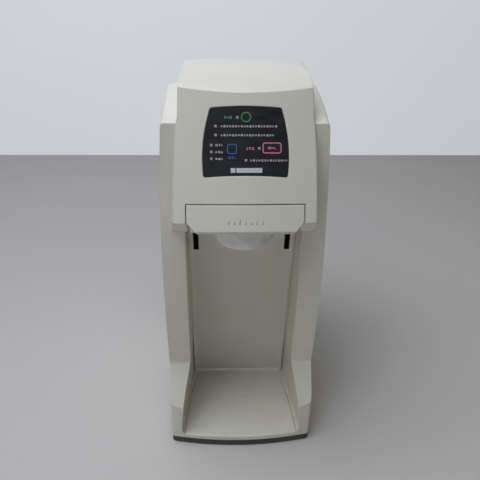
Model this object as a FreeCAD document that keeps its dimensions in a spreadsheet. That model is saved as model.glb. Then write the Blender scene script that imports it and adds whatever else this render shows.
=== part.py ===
import FreeCAD, Part
import Sketcher
import math
import os

# Counter-top dispenser that presses a frozen portion out of a cup.
# X runs to the right, Y to the back, Z up. The origin is at the middle of the
# footprint, on the surface that the feet stand on. Lengths are in millimetres.

V = FreeCAD.Vector

# Driving dimensions. "from_front" sizes are distances behind the middle of the base's
# front edge, "level" sizes are heights above the table, "drop" sizes are distances below
# the top of the machine, and "up" sizes are measured up the slope of the leaning face.
DIMENSIONS = {
    # whole machine
    "width": 238.0,
    "depth": 385.0,
    "height": 622.0,
    "wall": 3.0,
    "gap": 0.3,
    "overrun": 40.0,
    "small_round": 2.0,
    # base
    "foot_radius": 11.0,
    "foot_side": 88.0,
    "foot_from_front": 42.0,
    "foot_from_back": 34.0,
    "skirt_bottom_level": 1.6,
    "skirt_wall": 4.0,
    "skirt_inset": 1.2,
    "tray_bottom_level": 14.0,
    "floor_level": 22.5,
    "lip_round": 2.6,
    "pan_thickness": 2.0,
    "pan_side": 110.0,
    "pan_from_front": 20.0,
    "front_bow": 13.0,
    "front_corner": 7.0,
    "back_corner": 20.0,
    # columns, arms and wings
    "arm_front_level": 66.0,
    "crease_from_front": 50.0,
    "crease_level": 145.0,
    "crease_round": 5.0,
    "belly_from_front": 29.0,
    "belly_drop": 292.0,
    "belly_bulge": 4.7,
    "wing_edge_from_front": 35.0,
    "wing_edge_drop": 63.0,
    "wing_top_from_front": 165.0,
    "wing_top_drop": 40.0,
    "wing_top_bulge": 5.3,
    "wing_top_round": 100.0,
    "wing_side_round": 6.0,
    "wing_edge_round": 1.6,
    "wing_rear_drop": 89.0,
    "rear_round": 42.0,
    "side_straight_drop": 292.0,
    "wing_narrowing": 11.8,
    "rear_seam_from_back": 29.5,
    # bay between the columns
    "bay_half": 84.0,
    "bay_floor_back": 167.0,
    "bay_back_half": 84.0,
    "bay_flare_half": 96.5,
    "bay_flare_from_front": 85.0,
    "bay_mouth_half": 100.5,
    "bay_mouth_bulge": 2.0,
    "bay_upper_flare_half": 94.0,
    "bay_upper_flare_from_front": 60.0,
    "bay_upper_bulge": 2.5,
    "bay_flare_level": 150.0,
    "bay_top_drop": 188.0,
    "bay_top_from_front": 76.7,
    "bay_cove": 7.0,
    "bay_return": 0.8,
    "floor_cove": 6.0,
    "slot_from_wall": 12.0,
    "slot_width": 7.0,
    "slot_bottom_drop": 287.0,
    "slot_top_drop": 189.8,
    "slot_lining": 0.8,
    # head
    "face_foot_drop": 184.0,
    "face_foot_ahead": 19.0,
    "face_run": 59.0,
    "face_rise": 160.0,
    "face_bow": 7.0,
    "face_from_side": 24.2,
    "head_splay": 8.4,
    "head_narrowing": 18.0,
    "head_side_bulge": 2.3,
    "head_from_side": 29.7,
    "head_skirt_drop": 92.0,
    "crown_turn_drop": 58.6,
    "crown_from_side": 31.8,
    "crown_side_bulge": 0.3,
    "crown_from_front": 122.0,
    "crown_dome": 4.0,
    "crown_corner": 8.0,
    "crown_rear_from_front": 164.0,
    "crown_rear_drop": 8.7,
    "crease_edge_round": 1.6,
    "fairing_drop": 220.0,
    "fairing_cove": 6.0,
    "cheek_top_drop": 154.0,
    "cheek_wall": 2.5,
    # control panel on the face
    "panel_top_half": 46.1,
    "panel_bottom_half": 55.5,
    "panel_bottom_up": 61.7,
    "panel_top_up": 151.4,
    "panel_side_bulge": 5.0,
    "panel_arch": 2.3,
    "panel_corner": 2.6,
    "panel_recess": 1.8,
    "panel_sink": 0.4,
    "panel_ledge": 6.0,
    "panel_fit": 0.35,
    "key_fit": 0.35,
    "key_proud": 0.5,
    "key_depth": 5.8,
    "key_flange": 1.4,
    "key_corner": 3.0,
    "power_key_side": 0.2,
    "power_key_up": 139.6,
    "power_key_radius": 6.6,
    "speed_key_side": -18.1,
    "speed_key_up": 98.9,
    "speed_key_half": 6.6,
    "dispense_key_side": 34.2,
    "dispense_key_up": 100.3,
    "dispense_key_half": 12.6,
    "dispense_key_half_up": 7.3,
    "lamp_half": 1.6,
    "lamp_length": 5.2,
    "lamp_core_half": 1.2,
    "power_lamp_side": -11.1,
    "power_lamp_up": 139.3,
    "notice_lamp_side": -39.2,
    "notice_lamp_up": 128.2,
    "notice_lamp_pitch": 11.4,
    "speed_lamp_side": -44.9,
    "speed_lamp_up": 104.1,
    "speed_lamp_pitch": 8.85,
    "dispense_lamp_side": 17.4,
    "dispense_lamp_up": 99.9,
    "remove_lamp_side": 0.2,
    "remove_lamp_up": 84.4,
    "board_half": 48.0,
    "board_bottom_up": 74.0,
    "board_top_up": 147.0,
    "board_thickness": 1.6,
    "board_behind": 9.0,
    "post_radius": 2.5,
    "post_side": 41.0,
    "post_low_up": 78.0,
    "post_high_up": 134.0,
    "contact_half": 3.0,
    "contact_behind": 6.9,
    # drawer
    "drawer_from_wall": 5.2,
    "drawer_gap": 1.2,
    "drawer_top_up": 25.6,
    "drawer_corner_up": 1.4,
    "drawer_corner_side": 13.3,
    "drawer_low_up": -13.4,
    "drawer_thickness": 5.0,
    "drawer_bevel": 3.2,
    "table_drop": 198.0,
    "table_thickness": 4.0,
    "table_back_from_front": 74.0,
    "arm_thickness": 4.0,
    "arm_height": 7.0,
    "arm_back_from_front": 205.0,
    "rail_wall": 2.5,
    "rail_fit": 0.5,
    "rail_from_front": 100.0,
    "rail_to_front": 222.0,
    # portion cup
    "cup_from_front": 30.5,
    "cup_radius": 44.4,
    "cup_bottom_radius": 43.0,
    "cup_wall": 2.0,
    "cup_bottom_drop": 230.0,
    "cup_hole_fit": 0.6,
    "cup_rim": 1.6,
    "cup_rim_thickness": 2.0,
    "cup_corner": 8.0,
    "nozzle_radius": 11.0,
    "nozzle_height": 7.0,
    "nozzle_teeth_radius": 8.0,
    "nozzle_root_radius": 5.5,
    # press
    "piston_radius": 37.0,
    "piston_height": 20.0,
    "piston_drop": 190.0,
    "rod_radius": 6.0,
    "crosshead_drop": 122.0,
    "crosshead_thickness": 12.0,
    "crosshead_hub": 10.0,
    "crosshead_half": 58.0,
    "crosshead_wing_depth": 12.0,
    "crosshead_neck_half": 14.0,
    "screw_from_front": 105.0,
    "screw_radius": 6.0,
    "nut_radius": 11.0,
    "nut_flange_radius": 16.0,
    "nut_flange_thickness": 4.0,
    "running_fit": 0.06,
    "guide_side": 46.0,
    "guide_radius": 5.0,
    "plate_thickness": 3.0,
    "lower_plate_drop": 182.0,
    "lower_plate_half": 64.0,
    "lower_plate_from_front": 1.0,
    "piston_hole_margin": 2.0,
    "upper_plate_drop": 72.0,
    "upper_plate_from_front": 84.0,
    "plate_flange": 22.0,
    "bearing_radius": 11.0,
    "bearing_height": 5.0,
    "gear_module": 2.0,
    "gear_width": 8.0,
    "gear_clearance": 3.0,
    "tooth_slack": 0.35,
    "shaft_radius": 3.0,
    "gearbox_radius": 20.0,
    "gearbox_height": 24.0,
    "motor_radius": 18.0,
    "motor_height": 58.0,
    # chassis and electrics
    "chassis_from_front": 180.0,
    "chassis_half": 67.0,
    "chassis_foot": 34.0,
    "supply_width": 96.0,
    "supply_depth": 62.0,
    "supply_height": 44.0,
    "supply_from_back": 116.5,
    "switch_width": 12.0,
    "switch_depth": 20.0,
    "switch_height": 8.0,
    "inlet_half": 14.0,
    "inlet_half_height": 10.5,
    "inlet_level": 70.0,
    "inlet_depth": 22.0,
    "inlet_wall": 2.0,
    "inlet_pin_radius": 1.6,
    "inlet_pin_pitch": 7.0,
    "vent_half": 46.0,
    "vent_height": 4.0,
    "vent_pitch": 11.0,
    "vent_drop": 262.0,
    "cover_screw_side": 100.0,
    "cover_screw_low": 60.0,
    "cover_screw_middle_drop": 332.0,
    "cover_screw_high_drop": 132.0,
    "bracket_screw_side": 48.0,
    "screw_head_radius": 4.0,
    "screw_head_height": 1.6,
    "screw_shank_radius": 2.0,
    "screw_shank_length": 9.0,
}

# Counts of repeated features.
SCREW_GEAR_TEETH = 28
PINION_TEETH = 12
VENT_COUNT = 9
NOZZLE_TEETH = 6

doc = FreeCAD.newDocument("portion_dispenser")
sheet = doc.addObject("Spreadsheet::Sheet", "sizes")
for row, (alias, number) in enumerate(DIMENSIONS.items(), start=1):
    sheet.set("A" + str(row), alias)
    sheet.set("B" + str(row), str(number))
    sheet.setAlias("B" + str(row), alias)
doc.recompute()


class Size:
    """A number together with the sheet expression that gives it."""

    def __init__(self, value, text):
        self.value = value
        self.text = text

    def __add__(self, other):
        other = as_size(other)
        return Size(self.value + other.value, "(" + self.text + " + " + other.text + ")")

    def __sub__(self, other):
        other = as_size(other)
        return Size(self.value - other.value, "(" + self.text + " - " + other.text + ")")

    def __mul__(self, other):
        other = as_size(other)
        return Size(self.value * other.value, "(" + self.text + " * " + other.text + ")")

    def __truediv__(self, other):
        other = as_size(other)
        return Size(self.value / other.value, "(" + self.text + " / " + other.text + ")")

    def __neg__(self):
        return Size(-self.value, "(0 - " + self.text + ")")

    def __rmul__(self, other):
        return as_size(other) * self

    def __radd__(self, other):
        return as_size(other) + self

    def __rsub__(self, other):
        return as_size(other) - self


def as_size(number):
    """A plain number as a Size, and a Size as it is."""
    if isinstance(number, Size):
        return number
    return Size(float(number), repr(float(number)))


def root(size):
    """The square root of a Size."""
    return Size(math.sqrt(size.value), "sqrt(" + size.text + ")")


# The middle of a chord.
HALF_SHARE = 0.5


class Dims:
    """Every driving dimension as an attribute."""


for alias, number in DIMENSIONS.items():
    setattr(Dims, alias, Size(number, "sizes." + alias))

# Levels that hang from the top of the machine.
for alias in DIMENSIONS:
    if alias.endswith("_drop"):
        setattr(Dims, alias.replace("_drop", "_level"), Dims.height - getattr(Dims, alias))

D = Dims
ZERO = as_size(0)


def bow_radius(half_chord, rise):
    """The radius of an arc from half its chord and its rise."""
    return (half_chord * half_chord + rise * rise) / (2 * rise)


def level_arc_rise(run, drop):
    """The rise over its chord of an arc that is level at one end."""
    square = run * run + drop * drop
    radius = square / (2 * drop)
    return radius - root(radius * radius - square / 4)


# Derived places that several pieces share.
half_width = D.width / 2
face_half = half_width - D.face_from_side
head_half = half_width - D.head_from_side
crown_half = half_width - D.crown_from_side
slot_side = D.bay_half - D.slot_from_wall
drawer_half = D.bay_half - D.drawer_from_wall
plan_bow = bow_radius(half_width, D.front_bow)
face_bow_radius = bow_radius(face_half, D.face_bow)
face_length = root(D.face_run * D.face_run + D.face_rise * D.face_rise)
lean_sine = D.face_run / face_length
lean_cosine = D.face_rise / face_length
nose_reach = D.face_foot_ahead - lean_sine * (D.drawer_low_up + D.drawer_bevel)
base_front = nose_reach - D.depth / 2
body_depth = D.depth - nose_reach
rear_seam = body_depth - D.rear_seam_from_back
seam_share = (rear_seam - D.wing_top_from_front) / (body_depth - D.wing_top_from_front)
crown_end_level = D.wing_top_level - seam_share * (D.wing_top_level - D.wing_rear_level)
crease_level = D.face_foot_level + D.face_rise
crease_behind = D.face_run - D.face_foot_ahead
cup_y = base_front + D.cup_from_front
screw_y = base_front + D.screw_from_front
gear_distance = D.gear_module * (SCREW_GEAR_TEETH + PINION_TEETH) / 2
motor_y = screw_y + gear_distance
gear_level = D.upper_plate_level + D.plate_thickness + D.gear_clearance


def bind(obj, prop, size):
    """Ties one property to the sheet."""
    obj.setExpression(prop, as_size(size).text)


def place(obj, x=ZERO, y=ZERO, z=ZERO, turn=None):
    """Puts an object at x, y, z with an optional fixed rotation."""
    if turn is not None:
        obj.Placement = FreeCAD.Placement(V(0, 0, 0), turn)
    for axis, size in (("x", x), ("y", y), ("z", z)):
        bind(obj, "Placement.Base." + axis, size)
    return obj


TURNS = {
    "plan": FreeCAD.Rotation(V(0, 0, 1), 0),
    "front": FreeCAD.Rotation(V(1, 0, 0), 90),
    "side": FreeCAD.Rotation(V(1, 1, 1), 120),
}
NORMALS = {"plan": V(0, 0, 1), "front": V(0, 1, 0), "side": V(1, 0, 0)}
AXES = {"plan": "z", "front": "y", "side": "x"}
PLANES = {"plan": "XY_Plane", "front": "XZ_Plane", "side": "YZ_Plane"}


def arc_through(start, end, rise):
    """An arc from start to end that swells to the right of the way by rise."""
    way = end - start
    across = V(way.y, -way.x, 0)
    across.normalize()
    middle = (start + end) * HALF_SHARE + across * rise
    if rise < 0:
        start, end = end, start
    return Part.Arc(start, middle, end)


def draw(sketch, loops):
    """Loops and circles. A circle is a tuple of x, y and radius. A loop is a list of corners
    joined by lines and arcs, where a third value at a corner is the rise of the arc that
    leaves it, positive when it swells to the right of the way."""
    shapes = []
    plans = []
    for loop in loops:
        if isinstance(loop, tuple):
            x, y, radius = [as_size(value) for value in loop]
            plans.append((len(shapes), [(x, y)], [radius]))
            shapes.append(Part.Circle(V(x.value, y.value, 0), V(0, 0, 1), radius.value))
            continue
        points = [(as_size(corner[0]), as_size(corner[1])) for corner in loop]
        rises = [as_size(corner[2]) if len(corner) > 2 else None for corner in loop]
        plans.append((len(shapes), points, rises))
        for index, rise in enumerate(rises):
            start = V(points[index][0].value, points[index][1].value, 0)
            after = points[(index + 1) % len(points)]
            end = V(after[0].value, after[1].value, 0)
            straight = Part.LineSegment(start, end)
            shapes.append(straight if rise is None else arc_through(start, end, rise.value))
    sketch.addGeometry(shapes)
    shapes = sketch.Geometry
    rules = []
    sizes = []

    def nearer_end(shape, point):
        to_start = (shape.StartPoint - point).Length
        return 1 if to_start < (shape.EndPoint - point).Length else 2

    def fix(kind, number, where, size):
        ends = (number, size.value) if kind == "Radius" else (-1, 1, number, where, size.value)
        sizes.append((len(rules), size))
        rules.append(Sketcher.Constraint(kind, *ends))

    for first, points, rises in plans:
        if len(points) == 1:
            fix("Radius", first, 0, rises[0])
            fix("DistanceX", first, 3, points[0][0])
            fix("DistanceY", first, 3, points[0][1])
            continue
        for index, (x, y) in enumerate(points):
            here = V(x.value, y.value, 0)
            number = first + index
            before = first + (index - 1) % len(points)
            end = nearer_end(shapes[number], here)
            last = nearer_end(shapes[before], here)
            rules.append(Sketcher.Constraint("Coincident", before, last, number, end))
            fix("DistanceX", number, end, x)
            fix("DistanceY", number, end, y)
            rise = rises[index]
            if rise is not None:
                after = points[(index + 1) % len(points)]
                run = after[0] - x
                climb = after[1] - y
                square = run * run + climb * climb
                fix("Radius", number, 0, (square / 4 + rise * rise) / (2 * root(rise * rise)))
    sketch.addConstraint(rules)
    for number, size in sizes:
        sketch.setExpression("Constraints[" + str(number) + "]", size.text)


def outline(name, plane, loops, start=ZERO):
    """A sketch on a plane across X, Y or Z, moved along its normal to start."""
    sketch = doc.addObject("Sketcher::SketchObject", name)
    draw(sketch, loops)
    places = {"x": ZERO, "y": ZERO, "z": ZERO}
    places[AXES[plane]] = as_size(start)
    place(sketch, places["x"], places["y"], places["z"], TURNS[plane])
    return sketch


def solid(name, plane, loops, start, end):
    """A sketch swept straight along its normal, from start to end."""
    sketch = outline(name + "_outline", plane, loops, start)
    piece = doc.addObject("Part::Extrusion", name)
    piece.Base = sketch
    piece.DirMode = "Custom"
    piece.Dir = NORMALS[plane]
    piece.Solid = True
    bind(piece, "LengthFwd", as_size(end) - as_size(start))
    return piece


def box(name, x_low, x_high, y_low, y_high, z_low, z_high):
    """A straight block between two corners."""
    piece = doc.addObject("Part::Box", name)
    bind(piece, "Length", as_size(x_high) - as_size(x_low))
    bind(piece, "Width", as_size(y_high) - as_size(y_low))
    bind(piece, "Height", as_size(z_high) - as_size(z_low))
    return place(piece, x_low, y_low, z_low)


SPINS = {
    "z": FreeCAD.Rotation(V(0, 0, 1), 0),
    "y": FreeCAD.Rotation(V(1, 0, 0), -90),
    "x": FreeCAD.Rotation(V(0, 1, 0), 90),
}


def drum(name, x, y, z, radius, length, axis="z"):
    """A cylinder that starts at x, y, z and runs along an axis."""
    piece = doc.addObject("Part::Cylinder", name)
    bind(piece, "Radius", radius)
    bind(piece, "Height", length)
    return place(piece, x, y, z, SPINS[axis])


def joined(name, *parts):
    """Several shapes as one."""
    piece = doc.addObject("Part::MultiFuse", name)
    piece.Shapes = list(parts)
    piece.Refine = True
    return piece


def cut(name, base, *tools):
    """A shape with the others taken out of it."""
    tool = tools[0] if len(tools) == 1 else joined(name + "_tools", *tools)
    piece = doc.addObject("Part::Cut", name)
    piece.Base = base
    piece.Tool = tool
    piece.Refine = True
    return piece


def shared(name, *parts):
    """The space that all the shapes share."""
    piece = doc.addObject("Part::MultiCommon", name)
    piece.Shapes = list(parts)
    piece.Refine = True
    return piece


def group(name, *parts):
    """Separate solids that make one node."""
    piece = doc.addObject("Part::Compound", name)
    piece.Links = list(parts)
    return piece


def mirrored(name, source):
    """The same shape on the other side of the middle plane."""
    piece = doc.addObject("Part::Mirroring", name)
    piece.Source = source
    piece.Base = V(0, 0, 0)
    piece.Normal = V(1, 0, 0)
    return piece


def rounded(name, base, picks):
    """Fillets on the edges that pass through the given points, with their radii."""
    doc.recompute()
    edges = []
    for radius, points in picks:
        for point in points:
            spot = Part.Vertex(V(*[as_size(value).value for value in point]))
            near = min(range(len(base.Shape.Edges)),
                       key=lambda index: base.Shape.Edges[index].distToShape(spot)[0])
            edges.append((near + 1, radius.value, radius.value))
    piece = doc.addObject("Part::Fillet", name)
    piece.Base = base
    piece.Edges = edges
    return piece


def rounded_level(name, base, radius, level):
    """Fillets on every edge that lies flat at one level."""
    doc.recompute()
    edges = []
    for index, edge in enumerate(base.Shape.Edges, start=1):
        box_now = edge.BoundBox
        if abs(box_now.ZMin - level.value) < D.gap.value and box_now.ZLength < D.gap.value:
            edges.append((index, radius.value, radius.value))
    piece = doc.addObject("Part::Fillet", name)
    piece.Base = base
    piece.Edges = edges
    return piece


def lean(obj, side=ZERO, up=ZERO, out=ZERO):
    """Places a piece that is drawn flat onto the leaning face: its x runs to the right,
    its y up the slope and its z out of the face."""
    obj.Placement = FreeCAD.Placement(V(0, 0, 0), FreeCAD.Rotation(V(1, 0, 0), 90))
    y_place = base_front - D.face_foot_ahead + lean_sine * up - lean_cosine * out
    z_place = D.face_foot_level + lean_cosine * up + lean_sine * out
    bind(obj, "Placement.Base.x", side)
    bind(obj, "Placement.Base.y", y_place)
    bind(obj, "Placement.Base.z", z_place)
    bind(obj, "Placement.Rotation.Angle", Size(QUARTER_TURN, "90 deg") - slope_angle)
    return obj


# A right angle in degrees.
QUARTER_TURN = 90
slope_angle = Size(math.degrees(math.atan2(D.face_run.value, D.face_rise.value)),
                   "atan(" + D.face_run.text + " / " + D.face_rise.text + ")")


def face_solid(name, loops, inner, outer):
    """A flat outline swept square to the leaning face, between two depths."""
    sketch = doc.addObject("Sketcher::SketchObject", name + "_outline")
    draw(sketch, loops)
    lean(sketch, out=as_size(inner))
    piece = doc.addObject("Part::Extrusion", name)
    piece.Base = sketch
    piece.DirMode = "Normal"
    piece.Solid = True
    bind(piece, "LengthFwd", as_size(outer) - as_size(inner))
    return piece


def face_drum(name, depth):
    """The bowed face, as a wide cylinder along the slope, sunk by depth."""
    piece = doc.addObject("Part::Cylinder", name)
    bind(piece, "Radius", face_bow_radius - depth)
    bind(piece, "Height", 2 * D.height)
    piece.Placement = FreeCAD.Placement(V(0, 0, 0), FreeCAD.Rotation(V(1, 0, 0), QUARTER_TURN))
    start_y = base_front - D.face_foot_ahead + lean_cosine * face_bow_radius - lean_sine * D.height
    start_z = D.face_foot_level - lean_sine * face_bow_radius - lean_cosine * D.height
    bind(piece, "Placement.Base.y", start_y)
    bind(piece, "Placement.Base.z", start_z)
    bind(piece, "Placement.Rotation.Angle", Size(0, "0 deg") - slope_angle)
    return piece


def plate(label, plane, loops, start, thickness, cuts=()):
    """A body padded from one sketch, with pockets right through it."""
    body = doc.addObject("PartDesign::Body", label)
    origin = [item for item in body.Origin.OriginFeatures if item.Role == PLANES[plane]][0]
    start = as_size(start)
    # the plane across Y faces forwards, so its pad starts at the back of the plate
    shift = -(start + thickness) if plane == "front" else start
    number = 0
    for kind, shapes in [("Pad", loops)] + [("Pocket", shape) for shape in cuts]:
        sketch = body.newObject("Sketcher::SketchObject", label + "_sketch" + str(number))
        sketch.AttachmentSupport = [(origin, "")]
        sketch.MapMode = "FlatFace"
        bind(sketch, "AttachmentOffset.Base.z", shift)
        draw(sketch, shapes)
        feature = body.newObject("PartDesign::" + kind, label + "_" + kind.lower() + str(number))
        feature.Profile = sketch
        if kind == "Pad":
            bind(feature, "Length", thickness)
        else:
            feature.Type = "ThroughAll"
            feature.Midplane = True
        number += 1
    body.Label = label
    return body


pieces = []


def keep(label, obj):
    """Names a finished sub-part and puts it on the list of what is written."""
    obj.Label = label
    pieces.append(obj)
    return obj


def rectangle(x_low, x_high, y_low, y_high):
    """The corners of a rectangle, counter-clockwise."""
    return [(x_low, y_low), (x_high, y_low), (x_high, y_high), (x_low, y_high)]


def soft_rectangle(half_x, half_y, corner, x=ZERO, y=ZERO):
    """A rectangle with round corners, about a middle point."""
    rise = corner * CORNER_RISE_SHARE
    low_x, high_x, low_y, high_y = x - half_x, x + half_x, y - half_y, y + half_y
    return [
        (low_x + corner, low_y), (high_x - corner, low_y, rise),
        (high_x, low_y + corner), (high_x, high_y - corner, rise),
        (high_x - corner, high_y), (low_x + corner, high_y, rise),
        (low_x, high_y - corner), (low_x, low_y + corner, rise),
    ]


# The rise of a quarter circle over its chord, as a share of its radius.
CORNER_RISE_SHARE = 1 - math.sqrt(2) / 2


def fore(distance):
    """The Y of a place that lies behind the middle of the base's front edge."""
    return base_front + distance


def plan_loop(inset):
    """The footprint with its bowed front, drawn in all round by inset."""
    half = half_width - inset
    bow = plan_bow - inset
    bow_y = fore(plan_bow)
    corner = D.front_corner
    # the corner arc touches both the bow and the side
    sine = (half - corner) / (bow - corner)
    cosine = root(1 - sine * sine)
    touch_x = bow * sine
    touch_y = bow_y - bow * cosine
    corner_y = bow_y - (bow - corner) * cosine
    chord_square = (half - touch_x) * (half - touch_x) + (corner_y - touch_y) * (corner_y - touch_y)
    corner_rise = corner - root(corner * corner - chord_square / 4)
    back = fore(body_depth - inset)
    rear_rise = D.back_corner * CORNER_RISE_SHARE
    return [
        (touch_x, touch_y, corner_rise),
        (half, corner_y),
        (half, back - D.back_corner, rear_rise),
        (half - D.back_corner, back),
        (D.back_corner - half, back, rear_rise),
        (-half, back - D.back_corner),
        (-half, corner_y, corner_rise),
        (-touch_x, touch_y, bow * (1 - cosine)),
    ]


def base_pieces():
    """Feet, skirt, steel pan and the tray whose top is the floor of the bay."""
    pan_bottom = D.floor_level - D.wall - D.pan_thickness
    feet = []
    for side in (-1, 1):
        for end, y in (("front", fore(D.foot_from_front)), ("rear", fore(body_depth - D.foot_from_back))):
            name = "foot_" + end + ("_left" if side < 0 else "_right")
            feet.append(drum(name, side * D.foot_side, y, ZERO, D.foot_radius, pan_bottom))
    keep("rubber_feet", group("feet", *feet))
    outer = solid("skirt_block", "plan", [plan_loop(D.skirt_inset)],
                  D.skirt_bottom_level, D.tray_bottom_level)
    inner = solid("skirt_hole", "plan", [plan_loop(D.skirt_inset + D.skirt_wall)],
                  D.skirt_bottom_level - D.overrun, D.tray_bottom_level + D.overrun)
    keep("foot_skirt", cut("skirt", outer, inner))
    keep("base_pan", plate("pan", "plan", [rectangle(-D.pan_side, D.pan_side, fore(D.pan_from_front),
                                                     fore(body_depth - D.back_corner))],
                           pan_bottom, D.pan_thickness))
    block = solid("tray_block", "plan", [plan_loop(ZERO)], D.tray_bottom_level, D.floor_level)
    rim = rounded_level("tray_rounded", block, D.lip_round, D.floor_level)
    hollow = solid("tray_hollow", "plan", [plan_loop(D.wall)],
                   D.tray_bottom_level - D.overrun, D.floor_level - D.wall)
    keep("base_tray", cut("tray", rim, hollow))


def body_block(name, inset):
    """The whole housing behind and beside the bay as one block, drawn in by inset."""
    back = fore(body_depth - inset)
    bottom = D.floor_level if inset is ZERO else D.floor_level - D.overrun
    profile = solid(name + "_profile", "side", [[
        (fore(inset), bottom),
        (back, bottom),
        (back, D.wing_rear_level - inset),
        (fore(D.wing_top_from_front), D.wing_top_level - inset, D.wing_top_bulge),
        (fore(D.wing_edge_from_front + inset), D.wing_edge_level - inset),
        (fore(D.belly_from_front + inset), D.belly_level, D.belly_bulge),
        (fore(D.crease_from_front + inset), D.crease_level - inset),
        (fore(inset), D.arm_front_level - inset),
    ]], -half_width - D.overrun, half_width + D.overrun)
    rounds = [(D.rear_round - inset, [(ZERO, back, D.wing_rear_level - inset)])]
    if inset is ZERO:
        rounds.append((D.crease_round, [(ZERO, fore(D.crease_from_front), D.crease_level)]))
        rounds.append((D.wing_top_round, [(ZERO, fore(D.wing_top_from_front), D.wing_top_level)]))
    profile = rounded(name + "_profile_round", profile, rounds)
    half = half_width - inset
    top = half - D.wing_narrowing
    bulge = level_arc_rise(D.height - D.side_straight_level, D.wing_narrowing)
    front = solid(name + "_front", "front", [[
        (-half, bottom), (half, bottom), (half, D.side_straight_level, bulge),
        (top, D.height), (-top, D.height, bulge), (-half, D.side_straight_level),
    ]], fore(-D.overrun), fore(body_depth + D.overrun))
    plan = solid(name + "_plan", "plan", [plan_loop(inset)], bottom, D.height)
    return shared(name, profile, front, plan)


def bay_block(name, spread):
    """The open bay between the columns, wider by spread on each side."""
    slope = (D.bay_floor_back - D.bay_top_from_front) / (D.bay_top_level - D.floor_level)
    side = solid(name + "_side", "side", [[
        (fore(-D.overrun), D.floor_level - (D.overrun if spread is ZERO else ZERO)),
        (fore(D.bay_floor_back + slope * (D.overrun if spread is ZERO else ZERO)),
         D.floor_level - (D.overrun if spread is ZERO else ZERO)),
        (fore(D.bay_top_from_front), D.bay_top_level),
        (fore(-D.overrun), D.bay_top_level),
    ]], -half_width, half_width)
    upper = box(name + "_upper", -(D.bay_half + spread), D.bay_half + spread, fore(-2 * D.overrun),
                fore(D.bay_floor_back + D.overrun), D.bay_flare_level, D.bay_top_level + D.overrun)
    far = D.bay_floor_back + D.overrun

    def section(back_half, knee_half, knee, mouth_half, rise):
        back_half, knee_half, mouth_half = back_half + spread, knee_half + spread, mouth_half + spread
        return [
            (mouth_half, fore(-2 * D.overrun)), (mouth_half, fore(ZERO), rise),
            (knee_half, fore(knee)), (back_half, fore(D.bay_floor_back)), (back_half, fore(far)),
            (-back_half, fore(far)), (-back_half, fore(D.bay_floor_back)),
            (-knee_half, fore(knee), rise), (-mouth_half, fore(ZERO)),
            (-mouth_half, fore(-2 * D.overrun)),
        ]

    low = outline(name + "_low", "plan", [section(D.bay_back_half, D.bay_flare_half,
                  D.bay_flare_from_front, D.bay_mouth_half, D.bay_mouth_bulge)], D.floor_level)
    high = outline(name + "_high", "plan", [section(D.bay_half, D.bay_half,
                   D.bay_upper_flare_from_front, D.bay_upper_flare_half, -D.bay_upper_bulge)],
                   D.bay_flare_level)
    flare = doc.addObject("Part::Loft", name + "_flare")
    flare.Sections = [low, high]
    flare.Solid = True
    flare.Ruled = True
    whole = joined(name + "_whole", upper, flare)
    return shared(name, whole, side)


def coved(name, bay):
    """The bay with hollows along the foot of its side walls."""
    points = []
    for side in (-1, 1):
        points.append((side * (D.bay_back_half + D.bay_flare_half) / 2,
                       fore((D.bay_floor_back + D.bay_flare_from_front) / 2), D.floor_level))
        halfway = (D.bay_flare_half + D.bay_mouth_half) / 2
        points.append((side * halfway, fore(D.bay_flare_from_front / 2), D.floor_level))
        points.append((side * D.bay_mouth_half, fore(-D.overrun / 2), D.floor_level))
    return rounded(name, bay, [(D.floor_cove, points)])


def side_at(level):
    """How far from the middle plane the side of the housing is at a level above its straight part."""
    share = (level - D.side_straight_level) / (D.height - D.side_straight_level)
    return half_width - D.wing_narrowing * share * share


def wing_rounded(name, cover):
    """A side cover with the long outer edge and the front edge of its wing rounded."""
    front_level = (D.wing_edge_level + D.wing_top_level) / 2 + D.wing_top_bulge
    rear_level = (D.wing_top_level + crown_end_level) / 2
    return rounded(name, cover, [
        (D.wing_side_round, [
            (side_at(front_level), fore((D.wing_edge_from_front + D.wing_top_from_front) / 2), front_level),
            (side_at(D.wing_top_level), fore(D.wing_top_from_front), D.wing_top_level),
            (side_at(rear_level), fore((D.wing_top_from_front + rear_seam) / 2), rear_level),
        ]),
        (D.wing_edge_round, [
            ((head_half + half_width) / 2, fore(D.wing_edge_from_front), D.wing_edge_level)]),
    ])


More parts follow.
